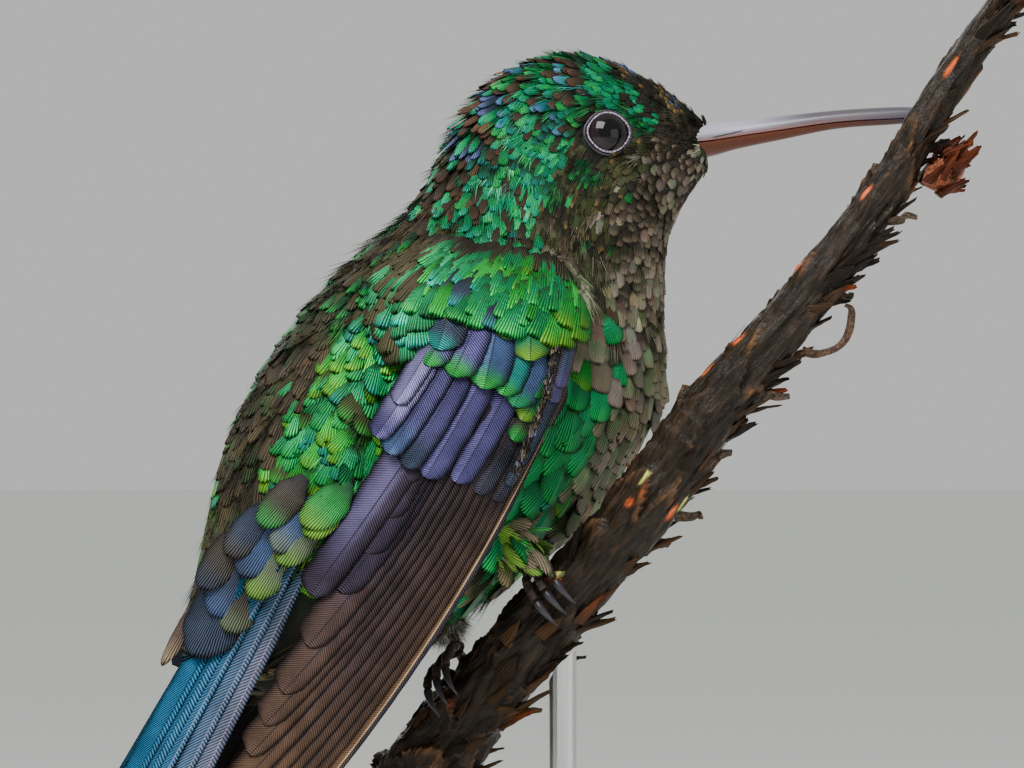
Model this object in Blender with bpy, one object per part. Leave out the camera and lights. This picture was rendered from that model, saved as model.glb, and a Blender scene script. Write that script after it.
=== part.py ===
"""A perched hummingbird, life size, gripping a cut length of branch on a plain display stand.

Run with blender --background --python part.py, or from Blender's text editor. +X is the way the bill
points, +Z is up, and the origin is the middle of the stand base's underside. The tables below are in
millimetres and degrees; meshes are made in metres.
"""

import math

import bmesh
import bpy
from mathutils import Vector

MM = 0.001
GAP = 0.3  # clearance between pieces that touch

# The body's sections from the bill's root to the tail coverts. Each row: the outline's point on the back
# (X, Z), its point on the throat or belly (X, Z), half the width, the centre's Y, and the roll of the back
# toward -Y.
BODY = [
    (19.0, 71.5, 18.8, 68.8, 1.3, 6.0, 0.0),  # 0 root of the bill
    (17.2, 73.2, 19.1, 68.0, 2.2, 6.0, 0.0),  # 1 lores
    (14.8, 75.3, 18.3, 66.5, 3.5, 6.0, 0.0),  # 2 forehead and chin
    (11.6, 76.9, 17.2, 64.7, 5.0, 6.0, 0.0),  # 3 brow
    (7.6, 77.6, 16.3, 62.9, 6.2, 6.0, 0.0),  # 4 crown and throat
    (3.2, 76.6, 15.9, 61.0, 6.8, 6.0, 2.0),  # 5 back of the crown
    (-0.6, 73.4, 15.8, 58.6, 7.1, 6.0, 5.0),  # 6 nape
    (-3.0, 69.2, 15.7, 55.8, 7.8, 6.0, 10.0),  # 7 neck
    (-5.5, 65.2, 15.9, 52.6, 9.4, 5.7, 17.0),  # 8 shoulders and upper breast
    (-10.6, 60.6, 15.4, 48.6, 11.4, 4.8, 24.0),  # 9 mantle and breast
    (-14.8, 55.8, 12.4, 43.8, 12.6, 3.6, 28.0),  # 10 back
    (-18.2, 50.6, 9.2, 39.4, 12.9, 2.4, 28.0),  # 11 middle of the back
    (-20.3, 45.8, 5.6, 36.5, 12.3, 1.3, 28.0),  # 12 belly
    (-21.6, 40.6, 1.2, 33.0, 10.9, 0.2, 28.0),  # 13 lower back
    (-22.4, 36.6, -4.0, 29.8, 8.9, -0.8, 29.0),  # 14 rump
    (-23.4, 32.6, -10.4, 27.0, 6.4, -1.8, 31.0),  # 15 vent
    (-24.4, 29.4, -16.8, 25.4, 4.2, -2.8, 32.0),  # 16 end of the tail coverts
]
BODY_SIDES = 26
BODY_STEPS = 2  # sections made for each row of the table
HEAD_END = 6
NECK_END = 8
TRUNK_END = 14
PART_CUT = 0.05  # half a cut between two parts of the body, in rows

EYE_AT = (10.35, 70.65)
EYE_RADIUS = 2.0
EYE_STANDS_OUT = 0.35

# The bill's sections: X, centre Z, half height, half width, and the mouth line's drop below the centre.
BILL = [
    (19.4, 70.45, 1.26, 1.34, 0.10),
    (21.2, 70.75, 1.10, 1.12, 0.12),
    (24.3, 71.25, 0.95, 0.92, 0.16),
    (29.1, 71.98, 0.73, 0.74, 0.22),
    (33.9, 72.30, 0.68, 0.60, 0.24),
    (36.0, 72.38, 0.50, 0.46, 0.18),
    (37.3, 72.40, 0.20, 0.20, 0.05),
]
BILL_GAP = 0.2

# The folded right wing, from the shoulder to the tip. Each row: leading edge (X, Z), trailing edge (X, Z),
# Y of the middle of the chord, and how far the two edges lie behind that.
WING = [
    (6.6, 61.0, -2.6, 62.6, -4.6, 2.2),  # 0 top of the shoulder
    (8.3, 58.0, -5.2, 60.0, -6.8, 2.8),  # 1 wrist
    (8.1, 54.6, -6.4, 56.8, -9.0, 2.9),  # 2 lesser coverts
    (7.2, 50.6, -6.4, 53.0, -10.8, 2.6),  # 3 median coverts
    (5.4, 46.6, -8.2, 47.6, -12.1, 2.3),  # 4 greater coverts
    (2.4, 42.2, -9.2, 42.4, -12.8, 1.9),  # 5
    (-0.4, 36.4, -12.6, 37.0, -13.2, 1.5),  # 6 inner secondaries
    (-3.6, 31.0, -14.0, 31.4, -13.4, 1.1),  # 7
    (-7.0, 25.2, -16.4, 25.0, -13.4, 0.9),  # 8 outer secondaries
    (-11.3, 18.8, -19.2, 18.0, -13.4, 0.7),  # 9 primaries
    (-15.4, 13.4, -20.2, 13.0, -13.4, 0.4),  # 10
    (-18.6, 10.0, -19.4, 10.0, -13.4, 0.1),  # 11 tip
]
WING_SHEET = 0.7  # thickness of the flight feathers
WING_COVERTS = 1.1  # thickness of the coverts over them
WING_SPLIT = 4.0  # the row where the coverts end
SECONDARY_END = 8.7
LEFT_WING_ROLL = 14.0  # roll of the plane that mirrors the right wing into the left

# The tail: its root inside the rump, its line, and the fan of its feathers.
TAIL_ROOT = (-15.2, -1.2, 37.0)
TAIL_TIP = (-28.6, -8.0, 12.8)
TAIL_ROLL = 32.0
TAIL_HALF_WIDTH = (5.2, 6.2)  # at the root and near the tip
TAIL_ARCH = 0.9
TAIL_SHEET = 0.6
TAIL_CENTRE_SHARE = 0.36
TAIL_SHOWS_FROM = 0.30  # share of the length that lies inside the rump

# The perch: centre line (X, Y, Z) and radius, from the lower cut to the upper.
PERCH = [
    (-9.4, 1.6, 13.2, 4.0),
    (-6.4, 1.4, 17.0, 4.0),
    (-2.4, 0.6, 22.2, 3.8),
    (2.6, -0.8, 28.3, 3.5),
    (7.6, -2.6, 34.2, 3.3),
    (13.6, -4.4, 41.4, 3.2),
    (19.4, -5.2, 49.4, 2.9),
    (26.2, -5.4, 57.4, 2.4),
    (32.2, -5.4, 65.4, 2.1),
    (37.0, -5.2, 73.6, 1.7),
    (43.8, -5.0, 83.6, 1.5),
]
PERCH_SIDES = 12
PERCH_STEPS = 3
BARK_RELIEF = 0.25
BUD_ROW = 8.38  # where the bud leaves the perch's lower side
BUD_MOVES = ((0.9, -0.3), (1.0, 0.5), (0.9, 0.9), (0.6, 0.9))  # steps in X and Z from there
BUD_RADII = (0.7, 1.2, 1.2, 0.7, 0.15)
TENDRIL_ROW = 6.7
TENDRIL_MOVES = (
    (1.0, -0.3),
    (1.1, 0.2),
    (0.9, 0.5),
    (0.6, 0.8),
    (0.3, 1.0),
    (0.0, 1.1),
    (-0.5, 0.3),
)
TENDRIL_RADIUS = 0.32

# Where each foot grips: row of the perch table, angle of the ankle round the perch from its upper side
# toward -Y, and the slope of the toes along the perch in millimetres.
FEET = {
    "right": (4.05, 12.0, -0.9),
    "left": (2.75, -26.0, -2.0),
}
ANKLE = {"right": (3.9, -5.8, 37.3), "left": (-2.2, 1.4, 31.4)}
HIP = {"right": (0.4, -4.6, 40.0), "left": (-3.6, 6.4, 33.6)}
TOE_RADIUS = 0.45
TOE_SPREAD = 1.15  # distance between two front toes
TOE_WRAP = 52.0  # how far a front toe reaches round the perch
CLAW_WRAP = 32.0
CLAW_RADIUS = 0.33

BASE_SIZE = (64.0, 42.0, 5.0)
BASE_CORNER = 6.0
ROD_AT = (7.0, -2.4)
ROD_RADIUS = 1.1

COLOURS = {  # colour, roughness, metallic
    "plumage_green": ((0.03, 0.30, 0.10), 0.45, 0.2),
    "plumage_bronze": ((0.10, 0.07, 0.04), 0.6, 0.1),
    "wing_dark": ((0.07, 0.06, 0.09), 0.5, 0.0),
    "tail_blue": ((0.05, 0.20, 0.32), 0.4, 0.2),
    "bill_black": ((0.02, 0.02, 0.025), 0.35, 0.0),
    "bill_red": ((0.45, 0.10, 0.06), 0.4, 0.0),
    "eye_dark": ((0.01, 0.008, 0.008), 0.05, 0.0),
    "foot_brown": ((0.10, 0.07, 0.06), 0.6, 0.0),
    "claw_grey": ((0.05, 0.05, 0.06), 0.3, 0.0),
    "bark": ((0.05, 0.035, 0.02), 0.8, 0.0),
    "stand_white": ((0.75, 0.74, 0.71), 0.5, 0.0),
    "stand_steel": ((0.55, 0.55, 0.55), 0.3, 1.0),
}


def start_empty():
    """Removes the scene's objects and returns the collections of the parts and the cutters."""
    for item in list(bpy.data.objects):
        bpy.data.objects.remove(item, do_unlink=True)
    made = []
    for name in ("hummingbird", "cutters"):
        group = bpy.data.collections.new(name)
        bpy.context.scene.collection.children.link(group)
        made.append(group)
    return made


PARTS, CUTTERS = start_empty()


def material(name):
    """The named material, made the first time it is asked for."""
    if name not in bpy.data.materials:
        colour, roughness, metallic = COLOURS[name]
        made = bpy.data.materials.new(name)
        made.use_nodes = True
        shader = made.node_tree.nodes["Principled BSDF"]
        shader.inputs["Base Color"].default_value = (*colour, 1.0)
        shader.inputs["Roughness"].default_value = roughness
        shader.inputs["Metallic"].default_value = metallic
    return bpy.data.materials[name]


def place(name, mesh, skin):
    """Puts a mesh in the scene: as a part with the material named by skin, or as a cutter without one."""
    item = bpy.data.objects.new(name, mesh)
    if skin:
        mesh.materials.append(material(skin))
        mesh.shade_smooth()
        mesh.set_sharp_from_angle(angle=math.radians(40))
        PARTS.objects.link(item)
    else:
        item.hide_render = True
        item.display_type = "WIRE"
        CUTTERS.objects.link(item)
    return item


def mix(a, b, share):
    return a + (b - a) * share


def row_at(table, t):
    """The table's row at a fractional place, on a Catmull-Rom curve through its rows."""
    last = len(table) - 1
    i = min(int(max(t, 0.0)), last - 1)
    u = t - i
    before, start, end, after = (
        table[max(i - 1, 0)],
        table[i],
        table[i + 1],
        table[min(i + 2, last)],
    )
    row = []
    for p0, p1, p2, p3 in zip(before, start, end, after):
        bend = 2 * p0 - 5 * p1 + 4 * p2 - p3
        twist = 3 * (p1 - p2) + p3 - p0
        row.append(0.5 * (2 * p1 + (p2 - p0) * u + bend * u * u + twist * u**3))
    return row


def steps(start, end, count):
    return [mix(start, end, i / count) for i in range(count + 1)]


def loft(name, rings, skin):
    """A closed body through rings of points in millimetres, capped at both ends."""
    shape = bmesh.new()
    loops = [[shape.verts.new(Vector(p) * MM) for p in ring] for ring in rings]
    for one, two in zip(loops, loops[1:]):
        for i in range(len(one)):
            j = (i + 1) % len(one)
            shape.faces.new((one[i], one[j], two[j], two[i]))
    shape.faces.new(list(reversed(loops[0])))
    shape.faces.new(loops[-1])
    bmesh.ops.recalc_face_normals(shape, faces=shape.faces)
    mesh = bpy.data.meshes.new(name)
    shape.to_mesh(mesh)
    shape.free()
    return place(name, mesh, skin)


def sheet(name, surface, us, edges, thick, skin, lift=0.0, columns=5):
    """A closed plate over surface(u, v, height), with v between the two edges at each u."""
    shape = bmesh.new()

    def grid(height):
        rows = []
        for u in us:
            low, high = edges(u)
            rows.append(
                [
                    shape.verts.new(Vector(surface(u, v, height)) * MM)
                    for v in steps(low, high, columns)
                ]
            )
        return rows

    under, over = grid(lift), grid(lift + thick)
    for i in range(len(us) - 1):
        for j in range(columns):
            for rows in (under, over):
                shape.faces.new(
                    (rows[i][j], rows[i][j + 1], rows[i + 1][j + 1], rows[i + 1][j])
                )
        for j in (0, columns):
            shape.faces.new((under[i][j], under[i + 1][j], over[i + 1][j], over[i][j]))
    for i in (0, len(us) - 1):
        for j in range(columns):
            shape.faces.new((under[i][j], over[i][j], over[i][j + 1], under[i][j + 1]))
    bmesh.ops.recalc_face_normals(shape, faces=shape.faces)
    mesh = bpy.data.meshes.new(name)
    shape.to_mesh(mesh)
    shape.free()
    return place(name, mesh, skin)


def tube(name, points, radii, skin, sides=8):
    """A closed tube of changing radius along points in millimetres."""
    points = [Vector(p) for p in points]
    side = None
    rings = []
    for i, (centre, radius) in enumerate(zip(points, radii)):
        along = (
            points[min(i + 1, len(points) - 1)] - points[max(i - 1, 0)]
        ).normalized()
        if side is None:
            side = along.orthogonal()
        side = (side - along * side.dot(along)).normalized()
        across = along.cross(side)
        rings.append(
            [
                centre + radius * (math.cos(a) * side + math.sin(a) * across)
                for a in (math.tau * k / sides for k in range(sides))
            ]
        )
    return loft(name, rings, skin)


def boolean(target, other, operation):
    change = target.modifiers.new(operation.lower() + "_" + other.name, "BOOLEAN")
    change.operation = operation
    change.solver = "EXACT"
    change.object = other


def body_section(t, grow=0.0):
    """Centre, back direction, right direction, back reach and side reach of the body at row t."""
    back_x, back_z, front_x, front_z, half_width, y, roll = row_at(BODY, t)
    centre = Vector(((back_x + front_x) / 2, y, (back_z + front_z) / 2))
    up = Vector((back_x - front_x, 0.0, back_z - front_z))
    reach = up.length / 2
    up.normalize()
    near = Vector((0.0, -1.0, 0.0))
    turn = math.radians(roll)
    back = math.cos(turn) * up + math.sin(turn) * near
    right = math.cos(turn) * near - math.sin(turn) * up
    depth = (
        math.sqrt(reach**2 - (half_width * math.sin(turn)) ** 2) / math.cos(turn) + grow
    )
    return centre, back, right, depth, half_width + grow


def body_ring(t):
    centre, back, right, depth, width = body_section(t)
    return [
        centre + depth * math.cos(a) * back + width * math.sin(a) * right
        for a in (math.tau * k / BODY_SIDES for k in range(BODY_SIDES))
    ]


def make_body():
    """The head, neck, trunk and rump as lengths of one loft with thin cuts between them."""
    spans = {
        "head": (0.0, HEAD_END - PART_CUT, "plumage_green"),
        "neck": (HEAD_END + PART_CUT, NECK_END - PART_CUT, "plumage_green"),
        "trunk": (NECK_END + PART_CUT, TRUNK_END - PART_CUT, "plumage_green"),
        "rump": (TRUNK_END + PART_CUT, len(BODY) - 1.0, "plumage_bronze"),
    }
    made = {}
    for name, (start, end, skin) in spans.items():
        count = max(3, round((end - start) * BODY_STEPS))
        rings = [body_ring(t) for t in steps(start, end, count)]
        made[name] = loft(name, rings, skin)
    return made


def ball(name, centre, radius, skin, segments=14, rings=10):
    shape = bmesh.new()
    bmesh.ops.create_uvsphere(
        shape, u_segments=segments, v_segments=rings, radius=radius * MM
    )
    bmesh.ops.translate(shape, verts=shape.verts, vec=Vector(centre) * MM)
    mesh = bpy.data.meshes.new(name)
    shape.to_mesh(mesh)
    shape.free()
    return place(name, mesh, skin)


def head_half_width(x, z):
    """Half the head's width at a point of its side view."""
    best = None
    for t in steps(0.0, float(HEAD_END), 120):
        centre, back, _, depth, width = body_section(t)
        offset = Vector((x, centre.y, z)) - centre
        along = offset.dot(back)
        miss = (offset - along * back).length
        if best is None or miss < best[0]:
            best = (miss, width * math.sqrt(max(0.0, 1 - (along / depth) ** 2)))
    return best[1]


def make_eyes(head):
    """Each eye in its socket, standing out a little from the side of the head."""
    x, z = EYE_AT
    middle = BODY[0][5]
    inward = head_half_width(x, z) + EYE_STANDS_OUT - EYE_RADIUS
    for name, side in (("right", -1), ("left", 1)):
        centre = (x, middle + side * inward, z)
        ball("eye_" + name, centre, EYE_RADIUS, "eye_dark")
        boolean(
            head,
            ball("socket_" + name, centre, EYE_RADIUS + GAP, None),
            "DIFFERENCE",
        )


def make_bill():
    """Upper and lower mandible, each a loft of the part of an oval above or below the mouth line."""
    arc = 8
    middle = BODY[0][5]
    for name, side, skin in (
        ("bill_upper", 1, "bill_black"),
        ("bill_lower", -1, "bill_red"),
    ):
        rings = []
        for t in steps(0.0, len(BILL) - 1.0, 12):
            x, z, high, wide, drop = row_at(BILL, t)
            cut = -drop + side * BILL_GAP / 2
            start = math.asin(max(-0.9, min(0.9, cut / high)))
            sweep = math.pi - 2 * start if side > 0 else -(math.pi + 2 * start)
            rings.append(
                [
                    (
                        x,
                        middle + wide * math.cos(start + sweep * k / arc),
                        z + high * math.sin(start + sweep * k / arc),
                    )
                    for k in range(arc + 1)
                ]
            )
        loft(name, rings, skin)


def wing_point(u, v, height):
    """A point of the right wing: row u, share v of the chord from the leading edge, height off its bed."""
    lead_x, lead_z, trail_x, trail_z, y, sag = row_at(WING, u)
    curve = sag * (2 * v - 1) ** 2
    return Vector(
        (mix(lead_x, trail_x, v), y + curve - height, mix(lead_z, trail_z, v))
    )


def mirror_plane():
    """A point of the plane between the two wings and its normal, which is the trunk's right side."""
    high = body_section(9.0)[0]
    low = body_section(13.0)[0]
    along = (high - low).normalized()
    near = Vector((0.0, -1.0, 0.0))
    near = (near - along * near.dot(along)).normalized()
    back = along.cross(near) * -1.0
    turn = math.radians(LEFT_WING_ROLL)
    return low, math.cos(turn) * near - math.sin(turn) * back


def left_wing_point(u, v, height):
    """The right wing's point mirrored across the plane between the wings."""
    origin, normal = mirror_plane()
    point = wing_point(u, v, height)
    return point - 2 * (point - origin).dot(normal) * normal


def secondary_edge(u):
    """Share of the chord where the primaries end and the secondaries begin."""
    share = (u - WING_SPLIT) / (SECONDARY_END - WING_SPLIT)
    return mix(0.42, 0.94, min(1.0, max(0.0, share)))


def make_wing(side, surface, hosts):
    """One folded wing in three plates, and its bed cut into the body under it."""
    cut = 0.03
    tip = len(WING) - 1.0
    sheet(
        f"wing_{side}_coverts",
        surface,
        steps(0.0, WING_SPLIT - cut, 8),
        lambda u: (0.0, 1.0),
        WING_COVERTS,
        "plumage_green",
        columns=7,
    )
    sheet(
        f"wing_{side}_secondaries",
        surface,
        steps(WING_SPLIT + cut, SECONDARY_END, 8),
        lambda u: (secondary_edge(u) + cut / 2, 1.0),
        WING_SHEET,
        "wing_dark",
        columns=4,
    )
    sheet(
        f"wing_{side}_primaries",
        surface,
        steps(WING_SPLIT + cut, tip, 12),
        lambda u: (0.0, secondary_edge(u) - cut / 2 if u < SECONDARY_END else 1.0),
        WING_SHEET,
        "wing_dark",
        columns=4,
    )
    bed = sheet(
        f"wing_bed_{side}",
        surface,
        steps(-0.12, SECONDARY_END + 0.3, 16),
        lambda u: (-0.035, 1.035),
        8.0,
        None,
        lift=-GAP,
        columns=8,
    )
    for host in hosts:
        boolean(host, bed, "DIFFERENCE")


def tail_frame():
    root, tip = Vector(TAIL_ROOT), Vector(TAIL_TIP)
    along = (tip - root).normalized()
    near = Vector((0.0, -1.0, 0.0))
    near = (near - along * near.dot(along)).normalized()
    up = along.cross(near)
    turn = math.radians(TAIL_ROLL)
    back = math.cos(turn) * up + math.sin(turn) * near
    right = math.cos(turn) * near - math.sin(turn) * up
    return root, along, (tip - root).length, back, right


def tail_point(u, v, height):
    """A point of the tail: share u of its length, v from -1 on its left to 1 on its right."""
    root, along, length, back, right = tail_frame()
    half = mix(*TAIL_HALF_WIDTH, math.sin(math.pi / 2 * min(1.0, u)))
    rounding = 1.0 - 0.035 * v * v * u
    arch = TAIL_ARCH * (1 - v * v)
    return (
        root + along * length * u * rounding + right * half * v + back * (arch + height)
    )


def make_tail(rump):
    """Three plates of tail feathers, which come out of a slot in the rump."""
    share = TAIL_CENTRE_SHARE
    cut = 0.03
    spans = {
        "tail_left": (-1.0, -share - cut),
        "tail_centre": (-share + cut, share - cut),
        "tail_right": (share + cut, 1.0),
    }
    for name, span in spans.items():
        sheet(
            name,
            tail_point,
            steps(TAIL_SHOWS_FROM, 1.0, 8),
            lambda u, span=span: span,
            TAIL_SHEET,
            "tail_blue",
            columns=3,
        )
    slot = sheet(
        "tail_slot",
        tail_point,
        steps(TAIL_SHOWS_FROM - 0.012, 1.0, 6),
        lambda u: (-1.07, 1.07),
        TAIL_SHEET + 2 * GAP,
        None,
        lift=-GAP,
        columns=6,
    )
    boolean(rump, slot, "DIFFERENCE")


def perch_frame(t):
    """Centre, radius and directions of the perch at row t: along it, to its upper side and toward -Y."""
    x, y, z, radius = row_at(PERCH, t)
    ahead = Vector(row_at(PERCH, t + 0.05)[:3])
    behind = Vector(row_at(PERCH, t - 0.05)[:3])
    along = (ahead - behind).normalized()
    near = Vector((0.0, -1.0, 0.0))
    near = (near - along * near.dot(along)).normalized()
    upper = along.cross(near) * -1.0
    return Vector((x, y, z)), radius, along, upper, near


def perch_ring(t, grow, relief):
    centre, radius, _, upper, near = perch_frame(t)
    ring = []
    for k in range(PERCH_SIDES):
        a = math.tau * k / PERCH_SIDES
        bump = relief * math.sin(3 * a + 2.1 * t) * math.sin(5.3 * t + a)
        reach = radius - relief + bump + grow
        ring.append(centre + reach * (math.cos(a) * upper + math.sin(a) * near))
    return ring


def grip_point(t, angle, slide, lift):
    """A point at an angle round the perch, slid along it, and lifted off its surface."""
    centre, radius, along, upper, near = perch_frame(t)
    a = math.radians(angle)
    outward = math.cos(a) * upper + math.sin(a) * near
    return centre + along * slide + (radius + lift) * outward


def sprig(name, row, moves, radii):
    """A side growth of the branch: a tube from the perch's lower side along steps in X and Z."""
    points = [grip_point(row, 180.0, 0.0, GAP + radii[0] / 2)]
    for x, z in moves:
        points.append(points[-1] + Vector((x, 0.0, z)))
    tube(name, points, radii, "bark")


def make_perch(hosts):
    """The cut length of branch, its bud and its curled tendril, and its bed in what lies on it."""
    last = len(PERCH) - 1.0
    rings = steps(0.0, last, PERCH_STEPS * (len(PERCH) - 1))
    loft("perch", [perch_ring(t, 0.0, BARK_RELIEF) for t in rings], "bark")
    toe_room = 2 * (GAP + TOE_RADIUS)
    hollow = loft("perch_hollow", [perch_ring(t, toe_room, 0.0) for t in rings], None)
    for host in hosts:
        boolean(host, hollow, "DIFFERENCE")
    sprig("perch_bud", BUD_ROW, BUD_MOVES, BUD_RADII)
    tendril_radii = [TENDRIL_RADIUS] * (len(TENDRIL_MOVES) + 1)
    sprig("perch_tendril", TENDRIL_ROW, TENDRIL_MOVES, tendril_radii)
    return loft("perch_bed", [perch_ring(t, GAP, 0.0) for t in rings], None)


def make_leg(side, hosts):
    """One leg: feathered thigh, ankle and foot, and four claws, round the perch."""
    t, ankle_angle, slope = FEET[side]
    ankle = Vector(ANKLE[side])
    hip = Vector(HIP[side])
    palm = grip_point(t, ankle_angle, 0.0, GAP + TOE_RADIUS + 0.15)
    radii = (2.0, 2.1, 1.9, 1.4, 0.9)
    thigh_line = [hip.lerp(ankle, s) for s in steps(0.0, 1.0, 4)]
    thigh = tube(f"thigh_{side}", thigh_line, radii, "plumage_bronze", 10)
    bed = tube(
        f"leg_bed_{side}",
        [hip.lerp(ankle, -0.12), *thigh_line],
        [r + GAP for r in (radii[0], *radii)],
        None,
        10,
    )
    shin = (0.42, 0.40, 0.42, 0.50)
    foot_line = [ankle.lerp(palm, s) for s in steps(0.0, 1.0, 3)]
    foot = tube(f"foot_{side}", foot_line, shin, "foot_brown")
    behind = ankle + (ankle - palm).normalized() * GAP
    socket_line = [behind.lerp(palm, s) for s in steps(0.0, 1.0, 3)]
    socket = tube(f"ankle_socket_{side}", socket_line, [r + GAP for r in shin], None)
    boolean(thigh, socket, "DIFFERENCE")
    for host in hosts:
        boolean(host, bed, "DIFFERENCE")
        boolean(host, socket, "DIFFERENCE")
    toes = {
        "inner": (1.0, TOE_SPREAD),
        "middle": (1.0, 0.0),
        "outer": (1.0, -TOE_SPREAD),
        "hind": (-1.0, 0.2),
    }
    for name, (way, across) in toes.items():
        sweep = way * TOE_WRAP
        lift = GAP + TOE_RADIUS
        line = [
            grip_point(
                t,
                ankle_angle + sweep * s,
                across * min(1.0, 0.25 + 1.6 * s) + slope * s,
                lift,
            )
            for s in steps(0.0, 1.0, 6)
        ]
        toe = tube(f"toe_{name}_{side}", line, [TOE_RADIUS] * 7, None)
        boolean(foot, toe, "UNION")
        claw = [
            grip_point(
                t,
                ankle_angle + sweep + way * (9.0 + CLAW_WRAP * s),
                across + slope * (1.1 + 0.35 * s),
                GAP + CLAW_RADIUS * (1 - 0.6 * s) + 0.5 * s * (1 - s),
            )
            for s in steps(0.0, 1.0, 5)
        ]
        tube(
            f"claw_{name}_{side}",
            claw,
            [CLAW_RADIUS * (1 - 0.72 * s) for s in steps(0.0, 1.0, 5)],
            "claw_grey",
        )


def make_stand(perch_bed):
    """A flat base with rounded corners and one rod up to the perch."""
    length, width, height = BASE_SIZE
    shape = bmesh.new()
    bmesh.ops.create_cube(shape, size=1.0)
    bmesh.ops.scale(
        shape, verts=shape.verts, vec=(length * MM, width * MM, height * MM)
    )
    bmesh.ops.translate(shape, verts=shape.verts, vec=(0.0, 0.0, height / 2 * MM))
    corners = [
        e for e in shape.edges if abs(e.verts[0].co.z - e.verts[1].co.z) > 0.5 * MM
    ]
    bmesh.ops.bevel(
        shape,
        geom=corners,
        offset=BASE_CORNER * MM,
        segments=6,
        affect="EDGES",
        profile=0.5,
    )
    rim = [
        e
        for e in shape.edges
        if all(v.co.z > (height - 0.01) * MM for v in e.verts)
        and any(abs(f.normal.z) < 0.5 for f in e.link_faces)
    ]
    bmesh.ops.bevel(
        shape, geom=rim, offset=0.8 * MM, segments=2, affect="EDGES", profile=0.5
    )
    mesh = bpy.data.meshes.new("stand_base")
    shape.to_mesh(mesh)
    shape.free()
    place("stand_base", mesh, "stand_white")
    x, y = ROD_AT
    rod = tube(
        "stand_rod",
        [(x, y, z) for z in (height + GAP, 31.5)],
        (ROD_RADIUS, ROD_RADIUS),
        "stand_steel",
        16,
    )
    boolean(rod, perch_bed, "DIFFERENCE")


def main():
    body = make_body()
    make_eyes(body["head"])
    make_bill()
    make_wing("right", wing_point, [body["neck"], body["trunk"], body["rump"]])
    make_wing("left", left_wing_point, [body["neck"], body["trunk"], body["rump"]])
    make_tail(body["rump"])
    perch_bed = make_perch([body["trunk"]])
    make_leg("right", [body["trunk"]])
    make_leg("left", [body["trunk"], body["rump"]])
    make_stand(perch_bed)


main()
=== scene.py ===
"""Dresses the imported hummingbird: skin, plumage, bill, eyes, feet, branch, stand and studio.

Run it as a script in Blender. The tables are in millimetres and degrees; meshes are made in metres.
"""

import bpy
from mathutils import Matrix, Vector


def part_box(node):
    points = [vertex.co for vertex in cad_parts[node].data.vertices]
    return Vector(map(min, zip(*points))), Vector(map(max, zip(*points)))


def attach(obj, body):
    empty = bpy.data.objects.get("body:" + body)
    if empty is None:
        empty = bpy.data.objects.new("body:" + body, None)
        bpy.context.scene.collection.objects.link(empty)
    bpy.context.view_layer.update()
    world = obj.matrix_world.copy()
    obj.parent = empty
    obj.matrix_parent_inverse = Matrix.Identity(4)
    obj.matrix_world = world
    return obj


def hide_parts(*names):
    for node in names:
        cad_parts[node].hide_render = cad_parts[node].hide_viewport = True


bl_info = {
    "name": "Perched hummingbird",
    "version": (1, 0, 0),
    "blender": (4, 5, 0),
    "location": "3D View > Sidebar > Hummingbird",
    "description": "Skin, plumage, bill, eyes, feet, branch and stand over the packed frame",
    "category": "Object",
}

import math

import bpy
import numpy as np
from mathutils import Vector
from mathutils.bvhtree import BVHTree
from mathutils.kdtree import KDTree

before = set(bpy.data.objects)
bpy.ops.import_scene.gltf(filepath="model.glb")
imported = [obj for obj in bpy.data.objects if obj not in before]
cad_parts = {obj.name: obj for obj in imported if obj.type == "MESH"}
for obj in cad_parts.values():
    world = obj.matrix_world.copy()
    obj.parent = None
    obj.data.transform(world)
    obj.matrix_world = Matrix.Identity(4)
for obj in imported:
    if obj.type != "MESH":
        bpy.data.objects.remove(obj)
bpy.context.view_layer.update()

MM = 0.001
FLESH = ("head", "neck", "trunk", "rump", "thigh_right", "thigh_left")
SIDES = ("right", "left")
WING_PARTS = ("coverts", "secondaries", "primaries")
WING_NODES = {side: tuple(f"wing_{side}_{part}" for part in WING_PARTS) for side in SIDES}
TAIL_NODES = ("tail_left", "tail_centre", "tail_right")

# The body's sections from the bill's root to the tail coverts: back X, Z, belly X, Z, half the width,
# centre Y, and the roll of the back toward -Y.
BODY = (
    (19.0, 71.5, 18.8, 68.8, 1.3, 6.0, 0.0),
    (17.2, 73.2, 19.1, 68.0, 2.2, 6.0, 0.0),
    (14.8, 75.3, 18.3, 66.5, 3.5, 6.0, 0.0),
    (11.6, 76.9, 17.2, 64.7, 5.0, 6.0, 0.0),
    (7.6, 77.6, 16.3, 62.9, 6.2, 6.0, 0.0),
    (3.2, 76.6, 15.9, 61.0, 6.8, 6.0, 2.0),
    (-0.6, 73.4, 15.8, 58.6, 7.1, 6.0, 5.0),
    (-3.0, 69.2, 15.7, 55.8, 7.8, 6.0, 10.0),
    (-5.5, 65.2, 15.9, 52.6, 9.4, 5.7, 17.0),
    (-10.6, 60.6, 15.4, 48.6, 11.4, 4.8, 24.0),
    (-14.8, 55.8, 12.4, 43.8, 12.6, 3.6, 28.0),
    (-18.2, 50.6, 9.2, 39.4, 12.9, 2.4, 28.0),
    (-20.3, 45.8, 5.6, 36.5, 12.3, 1.3, 28.0),
    (-21.6, 40.6, 1.2, 33.0, 10.9, 0.2, 28.0),
    (-22.4, 36.6, -4.0, 29.8, 8.9, -0.8, 29.0),
    (-23.4, 32.6, -10.4, 27.0, 6.4, -1.8, 31.0),
    (-24.4, 29.4, -16.8, 25.4, 4.2, -2.8, 32.0),
)
BODY_END = len(BODY) - 1.0
HEAD_Y = 6.0  # the middle plane of the head and bill
MOUTH_Z = 70.6  # the height at which the bill leaves the head

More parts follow.
